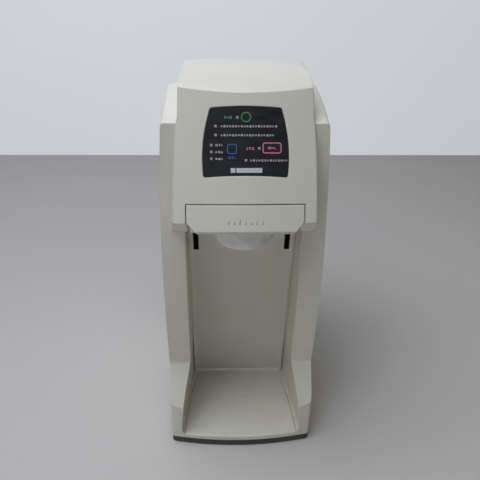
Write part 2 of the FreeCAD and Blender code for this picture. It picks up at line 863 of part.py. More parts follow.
def housing():
    """Side covers with their columns, arms and wings, the rear cover and the bay's back."""
    outer = body_block("housing_block", ZERO)
    inner = body_block("housing_inner", D.wall)
    bay = coved("bay_coved", bay_block("bay", ZERO))
    bay_wide = bay_block("bay_wide", D.wall)
    room = cut("housing_room", inner, bay_wide)
    head_slot = box("head_slot", -(head_half + D.gap), head_half + D.gap,
                    fore(-D.overrun), fore(rear_seam), D.bay_top_level, D.height + D.overrun)
    shell = cut("housing_shell", outer, room, bay, head_slot)
    side_region = box("side_region", D.bay_half - D.small_round, half_width + D.overrun, fore(-D.overrun),
                      fore(rear_seam), D.floor_level, D.height)
    right = keep("right_side_cover", wing_rounded(
        "right_cover_rounded", shared("right_cover", shell, side_region)))
    left = keep("left_side_cover", mirrored("left_cover", right))
    rear_region = box("rear_region", -half_width, half_width, fore(rear_seam + D.gap),
                      fore(body_depth + D.overrun), D.floor_level, D.height)
    rear = shared("rear_raw", shell, rear_region)
    vents = []
    for index in range(VENT_COUNT):
        level = D.vent_level + index * D.vent_pitch
        vents.append(solid("vent" + str(index), "front",
                           [soft_rectangle(D.vent_half, D.vent_height / 2, D.vent_height / 2 - D.gap,
                                           ZERO, level)],
                           fore(body_depth - D.overrun / 2), fore(body_depth + D.overrun)))
    socket = box("inlet_hole", -(D.inlet_half + D.gap), D.inlet_half + D.gap, fore(body_depth - D.overrun),
                 fore(body_depth + D.overrun), D.inlet_level - D.inlet_half_height - D.gap,
                 D.inlet_level + D.inlet_half_height + D.gap)
    screws = []
    bores = []
    face = fore(body_depth)
    sunk = D.screw_head_height + D.gap
    for side in (-1, 1):
        for tag, level in (("low", D.cover_screw_low), ("middle", D.cover_screw_middle_level),
                           ("high", D.cover_screw_high_level)):
            name = tag + ("_left" if side < 0 else "_right")
            x = side * D.cover_screw_side
            head = drum("cover_head_" + name, x, face - sunk, level,
                        D.screw_head_radius, D.screw_head_height, "y")
            shank = drum("cover_shank_" + name, x, face - sunk - D.screw_shank_length, level,
                         D.screw_shank_radius, D.screw_shank_length + D.screw_head_height, "y")
            screws.append(joined("cover_screw_" + name, head, shank))
            bores.append(drum("cover_sink_" + name, x, face - sunk, level, D.screw_head_radius + D.gap,
                              D.overrun, "y"))
            bores.append(drum("cover_bore_" + name, x, face - D.overrun, level, D.screw_shank_radius + D.gap,
                              2 * D.overrun, "y"))
    keep("rear_cover", cut("rear", rear, socket, *vents, *bores))
    keep("cover_screws", group("cover_screw_set", *screws))
    return right, left


def bay_line(level):
    """How far behind the base's front edge the bay's back lies at a level."""
    share = (level - D.floor_level) / (D.bay_top_level - D.floor_level)
    return D.bay_floor_back + share * (D.bay_top_from_front - D.bay_floor_back)


def bay_back(covers):
    """The leaning back panel of the bay, curved forwards at its sides and foot, with its two
    slots and their dark linings."""
    half = D.bay_half - D.gap
    block = solid("bay_panel_block", "side", [[
        (fore(D.bay_floor_back + D.wall), D.floor_level),
        (fore(D.bay_top_from_front + D.wall), D.bay_top_level),
        (fore(D.bay_top_from_front - D.bay_cove), D.bay_top_level),
        (fore(D.bay_floor_back - D.bay_cove), D.floor_level),
    ]], -half, half)
    over = D.bay_top_level + D.overrun
    inner_half = half - D.bay_return
    space = solid("bay_panel_space", "side", [[
        (fore(D.bay_floor_back), D.floor_level),
        (fore(bay_line(over)), over),
        (fore(ZERO), over),
        (fore(ZERO), D.floor_level),
    ]], -inner_half, inner_half)
    middle = (D.floor_level + D.bay_top_level) / 2
    space = rounded("bay_panel_coves", space, [(D.bay_cove, [
        (ZERO, fore(D.bay_floor_back), D.floor_level),
        (-inner_half, fore(bay_line(middle)), middle),
        (inner_half, fore(bay_line(middle)), middle),
    ])])
    panel = cut("bay_panel", block, space)
    holes = []
    linings = []
    for side in (-1, 1):
        tag = "left" if side < 0 else "right"
        x = side * slot_side
        wide = D.slot_width / 2 + D.slot_lining
        low, high = D.slot_bottom_level - D.slot_lining, D.slot_top_level
        holes.append(box("slot_hole_" + tag, x - wide, x + wide,
                         fore(-D.overrun), fore(body_depth), low, high))
        block = box("lining_block_" + tag, x - wide, x + wide, fore(-D.overrun), fore(body_depth), low, high)
        hole = box("lining_hole_" + tag, x - D.slot_width / 2, x + D.slot_width / 2, fore(-D.overrun),
                   fore(body_depth), D.slot_bottom_level, high + D.overrun)
        linings.append(cut("lining_" + tag, block, hole))
    keep("bay_back_panel", cut("bay_back", panel, *holes, *covers))
    depth = solid("lining_depth", "side", [[
        (fore(D.bay_floor_back + 3 * D.wall), D.floor_level),
        (fore(D.bay_top_from_front + 3 * D.wall), D.bay_top_level),
        (fore(D.bay_top_from_front + D.gap), D.bay_top_level),
        (fore(D.bay_floor_back + D.gap), D.floor_level),
    ]], -half, half)
    keep("slot_linings", group("linings", *[
        shared("lining_" + tag + "_trimmed", doc.getObject("lining_" + tag), depth)
        for tag in ("left", "right")]))


def head_block(name, inset):
    """The head with its nose and crown as one block, drawn in by inset."""
    splay = D.head_splay / (D.face_foot_ahead + D.wing_edge_from_front)
    hollow = inset is not ZERO
    face_in = inset / lean_cosine - D.face_foot_ahead
    run = D.face_run / D.face_rise
    rear = D.wing_edge_from_front - D.gap
    belly_rear = D.belly_from_front - D.gap
    rear_slope = (D.wing_edge_from_front - D.belly_from_front) / (D.wing_edge_level - D.belly_level)
    fairing_rear = belly_rear + rear_slope * (D.fairing_level - D.belly_level)
    reach = D.overrun if hollow else ZERO
    foot = D.face_foot_level + inset
    foot_y = fore(face_in + run * inset)
    fairing = D.fairing_level + inset
    top = crease_level - D.overrun / 4
    nose_loop = [
        (foot_y, foot, -D.fairing_cove),
        (fore(fairing_rear), fairing),
    ]
    if hollow:
        nose_loop += [(fore(rear + reach), fairing), (fore(rear + reach), D.head_skirt_level),
                      (fore(rear - inset), D.head_skirt_level), (fore(rear - inset), top),
                      (fore(face_in + run * (top - D.face_foot_level)), top)]
    else:
        face_end = D.face_foot_level + (rear - face_in) / run
        nose_loop += [(fore(rear), D.wing_edge_level), (fore(rear), face_end)]
    nose_side = solid(name + "_nose_side", "side", [nose_loop], -half_width, half_width)
    sections = []
    for tag, ahead in (("front", -D.overrun), ("rear", 2 * D.overrun)):
        low = face_half + splay * (D.face_foot_ahead + ahead) - inset
        high = low - D.head_narrowing
        sections.append(outline(name + "_nose_" + tag, "front", [[
            (-low, D.bay_flare_level), (low, D.bay_flare_level), (low, D.face_foot_level, D.head_side_bulge),
            (high, crease_level), (-high, crease_level, D.head_side_bulge), (-low, D.face_foot_level),
        ]], fore(ahead)))
    nose_front = doc.addObject("Part::Loft", name + "_nose_front")
    nose_front.Sections = sections
    nose_front.Solid = True
    nose_front.Ruled = True
    nose = shared(name + "_nose", nose_side, nose_front)
    skirt = D.head_skirt_level - reach / 2
    crease_in = face_in + run * (crease_level - inset - D.face_foot_level)
    end = fore(rear_seam - D.gap + reach)
    fall = (D.crown_rear_level - crown_end_level) / (rear_seam - D.gap - D.crown_rear_from_front)
    crown_side = solid(name + "_crown_side", "side", [[
        (fore(face_in + run * (skirt - D.face_foot_level)), skirt),
        (end, skirt),
        (end, crown_end_level - reach * fall - inset),
        (fore(D.crown_rear_from_front), D.crown_rear_level - inset,
         level_arc_rise(D.crown_rear_from_front - D.crown_from_front, D.crown_rear_drop)),
        (fore(D.crown_from_front), D.height - inset,
         level_arc_rise(D.crown_from_front - crease_in, D.height - crease_level)),
        (fore(crease_in), crease_level - inset),
    ]], -half_width, half_width)
    if not hollow:
        crown_side = rounded(name + "_crown_round", crown_side, [
            (D.crease_edge_round, [(ZERO, fore(crease_behind), crease_level)]),
        ])
    low, high = head_half - inset, crown_half - inset
    corner_level = D.height - D.crown_dome - inset
    crown_front = solid(name + "_crown_front", "front", [[
        (-low, skirt), (low, skirt), (low, D.crown_turn_level, D.crown_side_bulge),
        (high, corner_level, D.crown_dome), (-high, corner_level, D.crown_side_bulge),
        (-low, D.crown_turn_level),
    ]], fore(-D.overrun), end)
    crown_front = rounded(name + "_crown_corners", crown_front, [
        (D.crown_corner - inset, [(side * high, fore(ZERO), corner_level) for side in (-1, 1)])])
    crown = shared(name + "_crown", crown_side, crown_front)
    whole = joined(name + "_whole", nose, crown)
    return shared(name, whole, face_drum(name + "_bow", inset))


def panel_loop(inset):
    """The barrel outline of the control panel, drawn in by inset."""
    low_half, high_half = D.panel_bottom_half - inset, D.panel_top_half - inset
    low, high = D.panel_bottom_up + inset, D.panel_top_up - inset
    return [
        (-low_half, low, -D.panel_arch), (low_half, low, D.panel_side_bulge),
        (high_half, high, D.panel_arch), (-high_half, high, D.panel_side_bulge),
    ]


def panel_prism(name, inset, inner, outer):
    """The panel outline swept through the face, with rounded corners."""
    prism = face_solid(name + "_sharp", [panel_loop(inset)], inner, outer)
    doc.recompute()
    normal = V(0, -lean_cosine.value, lean_sine.value)
    edges = []
    for index, edge in enumerate(prism.Shape.Edges, start=1):
        way = edge.Vertexes[-1].Point - edge.Vertexes[0].Point
        if way.Length > 0 and abs(way.normalize().dot(normal)) > PARALLEL_SHARE:
            edges.append((index, D.panel_corner.value, D.panel_corner.value))
    piece = doc.addObject("Part::Fillet", name)
    piece.Base = prism
    piece.Edges = edges
    return piece


# Two directions count as parallel above this cosine.
PARALLEL_SHARE = 0.99


def drawer_loop(spread):
    """The drawer front on the face, grown by spread at its top and sides."""
    half = drawer_half + spread
    low_half = drawer_half - D.drawer_corner_side
    top = D.drawer_top_up + spread
    return [
        (-low_half, D.drawer_low_up), (low_half, D.drawer_low_up),
        (half, D.drawer_corner_up), (half, top), (-half, top), (-half, D.drawer_corner_up),
    ]


def head_piece():
    """The one moulded cover over the press, with its panel recess and drawer mouth."""
    outer = head_block("head_outer", ZERO)
    inner = head_block("head_inner", D.wall)
    half = drawer_half + D.drawer_gap
    cheeks = []
    for side, low, high in (("left", -(half + D.cheek_wall), -half), ("right", half, half + D.cheek_wall)):
        strip = box("cheek_box_" + side, low, high,
                    fore(-D.overrun), fore(D.wing_edge_from_front + D.overrun),
                    D.fairing_level - D.overrun, D.cheek_top_level)
        cheeks.append(strip)
    room = cut("head_room", inner, *cheeks)
    mouth = face_solid("drawer_mouth", [rectangle(-half, half, -2 * D.overrun,
                       D.drawer_top_up + D.drawer_gap)], -3 * D.overrun, D.overrun)
    recess_prism = panel_prism("recess_prism", ZERO, -D.overrun, D.overrun)
    recess = cut("panel_recess_cut", recess_prism, face_drum("recess_floor", D.panel_recess))
    window = panel_prism("panel_window", D.panel_ledge, -D.overrun, D.overrun)
    keep("head_cover", cut("head", outer, room, mouth, recess, window))


def lamp_places():
    """Side and height on the face of every indicator lamp."""
    places = [("power", D.power_lamp_side, D.power_lamp_up)]
    for index in range(2):
        places.append(("notice" + str(index), D.notice_lamp_side,
                       D.notice_lamp_up - index * D.notice_lamp_pitch))
    for index in range(3):
        places.append(("speed" + str(index), D.speed_lamp_side, D.speed_lamp_up - index * D.speed_lamp_pitch))
    places.append(("dispense", D.dispense_lamp_side, D.dispense_lamp_up))
    places.append(("remove", D.remove_lamp_side, D.remove_lamp_up))
    return places


def key_loops(spread):
    """The outlines of the three keys, grown by spread."""
    corner = D.key_corner + spread
    speed = D.speed_key_half + spread
    return {
        "power_key": [(D.power_key_side, D.power_key_up, D.power_key_radius + spread)],
        "speed_key": [soft_rectangle(speed, speed, corner, D.speed_key_side, D.speed_key_up)],
        "dispense_key": [soft_rectangle(D.dispense_key_half + spread, D.dispense_key_half_up + spread,
                                        corner, D.dispense_key_side, D.dispense_key_up)],
    }


def panel_pieces():
    """The dark panel, its three keys, the lamp windows and the board behind them."""
    blank = panel_prism("panel_blank", D.panel_fit, -D.overrun, D.overrun)
    skin = shared("panel_skin", blank, face_drum("panel_top", D.panel_sink))
    holes = [face_solid(name + "_hole", loops, -D.overrun, D.overrun)
             for name, loops in key_loops(D.key_fit).items()]
    lamps = lamp_places()
    for name, side, up in lamps:
        holes.append(face_solid("lamp_hole_" + name, [rectangle(side - D.lamp_half, side + D.lamp_half,
                     up - D.lamp_half, up + D.lamp_half)], -D.overrun, D.overrun))
    keep("control_panel", cut("panel", skin, face_drum("panel_underside", D.panel_recess), *holes))
    wide = key_loops(D.key_flange)
    for name, loops in key_loops(ZERO).items():
        cap = shared(name + "_cap", face_solid(name + "_stem", loops, -D.key_depth, D.overrun),
                     face_drum(name + "_top", D.panel_sink - D.key_proud))
        flange = shared(name + "_flange", face_solid(name + "_disc", wide[name], -D.key_depth, D.overrun),
                        face_drum(name + "_stop", D.panel_recess + D.gap))
        keep(name, joined(name + "_whole", cap, flange))
    windows = []
    cores = []
    for name, side, up in lamps:
        block = face_solid("lamp_block_" + name, [rectangle(side - D.lamp_half, side + D.lamp_half,
                           up - D.lamp_half, up + D.lamp_half)], -D.lamp_length, D.overrun)
        windows.append(shared("lamp_window_" + name, block, face_drum("lamp_top_" + name, D.panel_sink)))
        cores.append(face_solid("lamp_core_" + name, [rectangle(
            side - D.lamp_core_half, side + D.lamp_core_half,
            up - D.lamp_core_half, up + D.lamp_core_half)], -D.board_behind, -(D.lamp_length + D.gap)))
    keep("lamp_windows", group("windows", *windows))
    keep("indicator_lamps", group("lamps", *cores))
    keep("control_board", face_solid("board", [rectangle(-D.board_half, D.board_half, D.board_bottom_up,
         D.board_top_up)], -(D.board_behind + D.board_thickness), -D.board_behind))
    posts = []
    for side in (-1, 1):
        for tag, up in (("low", D.post_low_up), ("high", D.post_high_up)):
            name = "post_" + tag + ("_left" if side < 0 else "_right")
            rod = face_solid(name + "_rod", [(side * D.post_side, up, D.post_radius)],
                             -D.board_behind, D.overrun)
            posts.append(shared(name, rod, face_drum(name + "_seat", D.panel_recess)))
    keep("board_posts", group("posts", *posts))
    contacts = []
    for name, side, up in (("power", D.power_key_side, D.power_key_up),
                           ("speed", D.speed_key_side, D.speed_key_up),
                           ("dispense", D.dispense_key_side, D.dispense_key_up)):
        contacts.append(face_solid(name + "_contact", [rectangle(
            side - D.contact_half, side + D.contact_half,
            up - D.contact_half, up + D.contact_half)], -D.board_behind, -D.contact_behind))
    keep("key_contacts", group("contacts", *contacts))


def drawer_pieces():
    """The drawer front, its table and arms, the rails and the portion cup with its nozzle."""
    blank = face_solid("drawer_blank", [drawer_loop(ZERO)], -D.overrun, D.overrun)
    skin = shared("drawer_skin", blank, face_drum("drawer_bow", ZERO))
    front = cut("drawer_plate", skin, face_drum("drawer_inside", D.drawer_thickness))
    low_y = base_front - D.face_foot_ahead + lean_sine * D.drawer_low_up
    low_z = D.face_foot_level + lean_cosine * D.drawer_low_up
    doc.recompute()
    spot = Part.Vertex(V(0, low_y.value, low_z.value))
    edge = min(range(len(front.Shape.Edges)), key=lambda index: front.Shape.Edges[index].distToShape(spot)[0])
    bevel = doc.addObject("Part::Chamfer", "drawer_bevelled")
    bevel.Base = front
    bevel.Edges = [(edge + 1, D.drawer_bevel.value, D.drawer_bevel.value)]
    keep("drawer_front", bevel)
    half = slot_side - D.arm_thickness / 2
    table_top = D.table_level + D.table_thickness
    slab = box("table_slab", -half, half, fore(-D.overrun), fore(D.table_back_from_front),
               D.table_level, table_top)
    hole = drum("table_hole", ZERO, cup_y, D.table_level - D.overrun,
                D.cup_radius + D.cup_hole_fit, 2 * D.overrun)
    fitted = shared("table_fitted", slab, face_drum("table_bow", D.drawer_thickness))
    keep("drawer_table", cut("table", fitted, hole))
    for side, tag in ((-1, "left"), (1, "right")):
        x = side * slot_side
        arm = box("arm_box_" + tag, x - D.arm_thickness / 2, x + D.arm_thickness / 2, fore(-D.overrun),
                  fore(D.arm_back_from_front), D.table_level, D.table_level + D.arm_height)
        keep(tag + "_drawer_arm", shared("arm_" + tag, arm, face_drum("arm_bow_" + tag, D.drawer_thickness)))
        fit = D.arm_thickness / 2 + D.rail_fit
        low, high = D.table_level - D.rail_fit, D.table_level + D.arm_height + D.rail_fit
        sleeve = box("rail_block_" + tag, x - fit - D.rail_wall, x + fit + D.rail_wall,
                     fore(D.rail_from_front),
                     fore(D.rail_to_front), low - D.rail_wall, high + D.rail_wall)
        way = box("rail_way_" + tag, x - fit, x + fit, fore(D.rail_from_front - D.overrun),
                  fore(D.rail_to_front + D.overrun), low, high)
        keep(tag + "_drawer_rail", cut("rail_" + tag, sleeve, way))
    bore = D.nozzle_radius + D.gap
    rim = D.cup_radius + D.cup_rim
    rim_top = table_top + D.cup_rim_thickness
    corner_rise = D.cup_corner * CORNER_RISE_SHARE
    cup = turned("portion_cup", [
        (bore, D.cup_bottom_level), (D.cup_bottom_radius - D.cup_corner, D.cup_bottom_level, corner_rise),
        (D.cup_bottom_radius, D.cup_bottom_level + D.cup_corner),
        (D.cup_radius, table_top), (rim, table_top), (rim, rim_top), (D.cup_radius - D.cup_wall, rim_top),
        (D.cup_bottom_radius - D.cup_wall, D.cup_bottom_level + D.cup_corner, -corner_rise),
        (D.cup_bottom_radius - D.cup_corner, D.cup_bottom_level + D.cup_wall),
        (bore, D.cup_bottom_level + D.cup_wall),
    ], ZERO, cup_y)
    keep("portion_cup", cup)
    barrel = drum("nozzle_barrel", ZERO, cup_y, D.cup_bottom_level, D.nozzle_radius, D.nozzle_height)
    seat = drum("nozzle_seat", ZERO, cup_y, D.cup_bottom_level + D.cup_wall,
                D.nozzle_radius + D.cup_wall, D.cup_wall)
    points = []
    for index in range(2 * NOZZLE_TEETH):
        radius = D.nozzle_teeth_radius if index % 2 == 0 else D.nozzle_root_radius
        angle = math.pi * index / NOZZLE_TEETH
        points.append((radius * math.cos(angle), cup_y + radius * math.sin(angle)))
    star = solid("nozzle_star", "plan", [points],
                 D.cup_bottom_level - D.overrun, D.cup_bottom_level + D.overrun)
    keep("star_nozzle", cut("nozzle", joined("nozzle_body", barrel, seat), star))


def turned(label, corners, x, y):
    """A body turned about a vertical axis at x, y from half its section."""
    body = doc.addObject("PartDesign::Body", label)
    origin = [item for item in body.Origin.OriginFeatures if item.Role == "XZ_Plane"][0]
    sketch = body.newObject("Sketcher::SketchObject", label + "_section")
    sketch.AttachmentSupport = [(origin, "")]
    sketch.MapMode = "FlatFace"
    draw(sketch, [corners])
    feature = body.newObject("PartDesign::Revolution", label + "_turn")
    feature.Profile = sketch
    feature.ReferenceAxis = (sketch, ["V_Axis"])
    feature.Angle = 360
    return place(body, x, y)


def gear(label, teeth, turn, x, y, bore=None):
    """A spur gear with involute flanks, turned by a share of a tooth. Its first tooth
    points along X before the turn."""
    pitch = D.gear_module * teeth / 2
    base = pitch * math.cos(math.radians(PRESSURE_ANGLE))
    tip = pitch + D.gear_module
    foot = pitch - D.gear_module * ROOT_SHARE
    roll_base = math.tan(math.radians(PRESSURE_ANGLE)) - math.radians(PRESSURE_ANGLE)
    half_tooth = math.pi / (2 * teeth) + roll_base - D.tooth_slack.value / (2 * pitch.value)
    start = max(base.value, foot.value)
    flank = [(foot - D.gear_module / 2, half_tooth)]
    for step in range(FLANK_STEPS + 1):
        radius = start + (tip.value - start) * step / FLANK_STEPS
        roll = math.sqrt(max((radius / base.value) ** 2 - 1, 0))
        flank.append((pitch * (radius / pitch.value), half_tooth - (roll - math.atan(roll))))
    corners = [(radius * math.cos(away), -radius * math.sin(away)) for radius, away in flank]
    corners += [(radius * math.cos(away), radius * math.sin(away)) for radius, away in reversed(flank)]
    body = doc.addObject("PartDesign::Body", label)
    origin = [item for item in body.Origin.OriginFeatures if item.Role == "XY_Plane"][0]
    upright = [item for item in body.Origin.OriginFeatures if item.Role == "Z_Axis"][0]
    for tag, loop in (("wheel", (ZERO, ZERO, foot)), ("tooth", corners)):
        sketch = body.newObject("Sketcher::SketchObject", label + "_" + tag + "_section")
        sketch.AttachmentSupport = [(origin, "")]
        sketch.MapMode = "FlatFace"
        draw(sketch, [loop])
        feature = body.newObject("PartDesign::Pad", label + "_" + tag)
        feature.Profile = sketch
        bind(feature, "Length", D.gear_width)
    ring = body.newObject("PartDesign::PolarPattern", label + "_teeth")
    ring.Originals = [feature]
    ring.Axis = (upright, [""])
    ring.Angle = 360
    ring.Occurrences = teeth
    body.Tip = ring
    if bore is not None:
        sketch = body.newObject("Sketcher::SketchObject", label + "_bore_section")
        sketch.AttachmentSupport = [(origin, "")]
        sketch.MapMode = "FlatFace"
        draw(sketch, [(ZERO, ZERO, bore)])
        hole = body.newObject("PartDesign::Pocket", label + "_bore")
        hole.Profile = sketch
        hole.Type = "ThroughAll"
        hole.Midplane = True
        body.Tip = hole
    return place(body, x, y, gear_level, FreeCAD.Rotation(V(0, 0, 1), 360 * turn / teeth))


# Gear tooth form: pressure angle in degrees, root depth in modules, steps on a flank.
PRESSURE_ANGLE = 20
ROOT_SHARE = 1.2
FLANK_STEPS = 3


def press_pieces():
    """Piston, crosshead, lead screw, guides, bearings, gears and their motor."""
    head = D.crosshead_level
    head_top = D.crosshead_level + D.crosshead_thickness
    keep("press_piston", drum("piston", ZERO, cup_y, D.piston_level, D.piston_radius, D.piston_height))
    rod_foot = D.piston_level + D.piston_height
    keep("piston_rod", drum("rod", ZERO, cup_y, rod_foot, D.rod_radius, head_top - rod_foot))
    neck = D.crosshead_neck_half
    wing = D.crosshead_wing_depth
    keep("crosshead", plate("crosshead_body", "plan", [[
        (-D.crosshead_half, screw_y - wing), (-neck, screw_y - wing),
        (-D.crosshead_hub, cup_y - D.crosshead_hub), (D.crosshead_hub, cup_y - D.crosshead_hub),
        (neck, screw_y - wing), (D.crosshead_half, screw_y - wing),
        (D.crosshead_half, screw_y + wing), (-D.crosshead_half, screw_y + wing),
    ]], head, D.crosshead_thickness, cuts=[
        [(ZERO, cup_y, D.rod_radius + D.running_fit)],
        [(ZERO, screw_y, D.nut_radius + D.running_fit)],
        [(side * D.guide_side, screw_y, D.guide_radius + D.running_fit) for side in (-1, 1)],
    ]))
    nut_body = drum("nut_body", ZERO, screw_y, head, D.nut_radius, D.crosshead_thickness)
    nut_flange = drum("nut_flange", ZERO, screw_y, head_top, D.nut_flange_radius, D.nut_flange_thickness)
    nut_bore = drum("nut_bore", ZERO, screw_y, head - D.overrun,
                    D.screw_radius + D.running_fit, 3 * D.overrun)
    keep("screw_nut", cut("nut", joined("nut_blank", nut_body, nut_flange), nut_bore))
    lower_top = D.lower_plate_level + D.plate_thickness
    gear_top = gear_level + D.gear_width
    keep("lead_screw", drum("screw", ZERO, screw_y, lower_top + D.gap, D.screw_radius,
                            gear_top + D.gear_clearance - lower_top - D.gap))
    rods = [drum("guide" + tag, side * D.guide_side, screw_y, lower_top, D.guide_radius,
                 D.upper_plate_level - lower_top) for side, tag in ((-1, "_left"), (1, "_right"))]
    keep("guide_rods", group("guides", *rods))
    bearings = []
    for tag, level in (("lower", lower_top), ("upper", D.upper_plate_level - D.bearing_height)):
        ring = drum("bearing_ring_" + tag, ZERO, screw_y, level, D.bearing_radius, D.bearing_height)
        bore = drum("bearing_bore_" + tag, ZERO, screw_y, level - D.overrun, D.screw_radius + D.running_fit,
                    3 * D.overrun)
        bearings.append(cut("bearing_" + tag, ring, bore))
    keep("screw_bearings", group("bearings", *bearings))
    # a quarter turn brings a tooth of the wheel between two teeth of the pinion
    keep("screw_gear", gear("big_gear", SCREW_GEAR_TEETH, SCREW_GEAR_TEETH / 4, ZERO, screw_y,
                            D.screw_radius + D.running_fit))
    teeth = gear("small_gear", PINION_TEETH, PINION_TEETH / 4 + HALF_SHARE, ZERO, motor_y)
    gearbox_foot = D.upper_plate_level - D.gearbox_height
    shaft = drum("pinion_shaft", ZERO, motor_y, gearbox_foot + D.gear_clearance, D.shaft_radius,
                 gear_top - gearbox_foot - D.gear_clearance)
    keep("motor_pinion", joined("pinion", teeth, shaft))
    case = drum("gearbox_case", ZERO, motor_y, gearbox_foot, D.gearbox_radius, D.gearbox_height)
    case_bore = drum("gearbox_bore", ZERO, motor_y, gearbox_foot + D.gear_clearance / 2,
                     D.shaft_radius + D.running_fit, 2 * D.overrun)
    keep("motor_gearbox", cut("gearbox", case, case_bore))
    keep("press_motor", drum("motor", ZERO, motor_y, gearbox_foot - D.motor_height,
                             D.motor_radius, D.motor_height))


def angle_plate(name, half, front, top_level, flange):
    """A bent bracket: a level plate whose back edge turns down or up on the chassis."""
    back = fore(D.chassis_from_front)
    thick = D.plate_thickness
    if flange == "down":
        loop = [(front, top_level), (back - thick, top_level), (back - thick, top_level - D.plate_flange),
                (back, top_level - D.plate_flange), (back, top_level + thick), (front, top_level + thick)]
    else:
        loop = [(front, top_level), (back, top_level), (back, top_level + D.plate_flange),
                (back - thick, top_level + D.plate_flange), (back - thick, top_level + thick),
                (front, top_level + thick)]
    return solid(name, "side", [loop], -half, half)


def chassis_pieces():
    """The upright chassis, its two brackets and the screws that hold them."""
    back = fore(D.chassis_from_front)
    thick = D.plate_thickness
    top = D.upper_plate_level + thick
    middle = D.plate_flange / 2
    levels = {"lower": D.lower_plate_level + middle, "upper": D.upper_plate_level - middle}
    upright = solid("chassis_upright", "side", [[
        (back, D.floor_level), (back + D.chassis_foot, D.floor_level),
        (back + D.chassis_foot, D.floor_level + thick),
        (back + thick, D.floor_level + thick), (back + thick, top), (back, top),
    ]], -D.chassis_half, D.chassis_half)
    heads = []
    holes = []
    for tag, level in levels.items():
        for side in (-1, 1):
            name = tag + ("_left" if side < 0 else "_right")
            x = side * D.bracket_screw_side
            head = drum("bracket_head_" + name, x, back + thick, level,
                        D.screw_head_radius, D.screw_head_height, "y")
            shank = drum("bracket_shank_" + name, x, back - thick - D.screw_head_height, level,
                         D.screw_shank_radius, 2 * thick + D.screw_head_height, "y")
            heads.append(joined("bracket_screw_" + name, head, shank))
            holes.append(drum("bracket_hole_" + name, x, back - D.overrun, level,
                              D.screw_shank_radius + D.gap, 2 * D.overrun, "y"))
    keep("chassis_plate", cut("chassis", upright, *holes))
    keep("bracket_screws", group("bracket_screw_set", *heads))
    lower = angle_plate("lower_blank", D.lower_plate_half, fore(D.lower_plate_from_front),
                        D.lower_plate_level, "up")
    piston_hole = drum("piston_hole", ZERO, cup_y, D.lower_plate_level - D.overrun,
                       D.piston_radius + D.piston_hole_margin, 2 * D.overrun)
    keep("lower_bracket", cut("lower_plate", lower, piston_hole,
                              *[doc.copyObject(hole) for hole in holes[:2]]))
    upper = angle_plate("upper_blank", D.chassis_half, fore(D.upper_plate_from_front),
                        D.upper_plate_level, "down")
    screw_hole = drum("screw_hole", ZERO, screw_y, D.upper_plate_level - D.overrun,
                      D.screw_radius + D.cup_hole_fit, 2 * D.overrun)
    shaft_hole = drum("shaft_hole", ZERO, motor_y, D.upper_plate_level - D.overrun,
                      D.shaft_radius + D.cup_hole_fit, 2 * D.overrun)
    keep("upper_bracket", cut("upper_plate", upper, screw_hole, shaft_hole,
                              *[doc.copyObject(hole) for hole in holes[2:]]))


def electric_pieces():
    """Power supply, drawer switch and the mains inlet."""
    floor = D.floor_level
    supply_front = fore(body_depth - D.supply_from_back)
    keep("power_supply", box("supply", -D.supply_width / 2, D.supply_width / 2,
                             supply_front, supply_front + D.supply_depth, floor, floor + D.supply_height))
    rail_top = D.table_level + D.arm_height + D.rail_fit + D.rail_wall
    back = fore(D.rail_to_front)
    keep("drawer_switch", box("switch", slot_side - D.switch_width / 2, slot_side + D.switch_width / 2,
                              back - D.switch_depth, back, rail_top, rail_top + D.switch_height))
    half, tall = D.inlet_half, D.inlet_half_height
    low, high = D.inlet_level - tall, D.inlet_level + tall
    face = fore(body_depth)
    shell = box("inlet_shell", -half, half, face - D.inlet_depth, face, low, high)
    well = box("inlet_well", D.inlet_wall - half, half - D.inlet_wall, face - D.inlet_depth + D.inlet_wall,
               face + D.overrun, low + D.inlet_wall, high - D.inlet_wall)
    pins = [drum("inlet_pin" + str(index), (index - 1) * D.inlet_pin_pitch,
                 face - D.inlet_depth + D.inlet_wall,
                 D.inlet_level + (ZERO if index != 1 else D.inlet_pin_pitch / 2), D.inlet_pin_radius,
                 D.inlet_depth / 2, "y") for index in range(3)]
    keep("mains_inlet", joined("inlet", cut("inlet_case", shell, well), *pins))


base_pieces()
side_covers = housing()
bay_back(side_covers)
head_piece()
panel_pieces()
drawer_pieces()
press_pieces()
chassis_pieces()
electric_pieces()
doc.recompute()

failed = [obj.Name for obj in doc.Objects if "Invalid" in obj.State or "Error" in obj.State]
if failed:
    raise RuntimeError("failed features: " + ", ".join(failed))
for piece in pieces:
    if piece.Shape.isNull() or not piece.Shape.isValid() or not piece.Shape.Solids:
        raise RuntimeError("bad shape: " + piece.Label)

os.makedirs("parts", exist_ok=True)
for piece in pieces:
    piece.Shape.exportStep("parts/" + piece.Label + ".step")
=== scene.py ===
import math

import bmesh
import bpy
from bpy.props import FloatProperty, FloatVectorProperty, IntProperty, PointerProperty
from mathutils import Matrix, Vector


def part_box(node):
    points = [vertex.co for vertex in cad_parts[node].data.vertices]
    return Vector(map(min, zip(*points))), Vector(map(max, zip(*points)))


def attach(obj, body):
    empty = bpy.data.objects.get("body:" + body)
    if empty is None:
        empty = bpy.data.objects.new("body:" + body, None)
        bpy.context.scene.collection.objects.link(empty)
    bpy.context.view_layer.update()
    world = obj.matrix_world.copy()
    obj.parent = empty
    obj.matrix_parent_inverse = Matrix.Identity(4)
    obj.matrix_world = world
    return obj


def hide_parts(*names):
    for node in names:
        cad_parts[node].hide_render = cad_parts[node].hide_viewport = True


bl_info = {
    "name": "Portion Dispenser",
    "version": (1, 0, 0),
    "blender": (4, 5, 0),
    "location": "View3D > Sidebar > Dispenser",
    "description": "Dresses the counter-top portion dispenser with its finishes and fittings",
    "category": "Add Mesh",
}

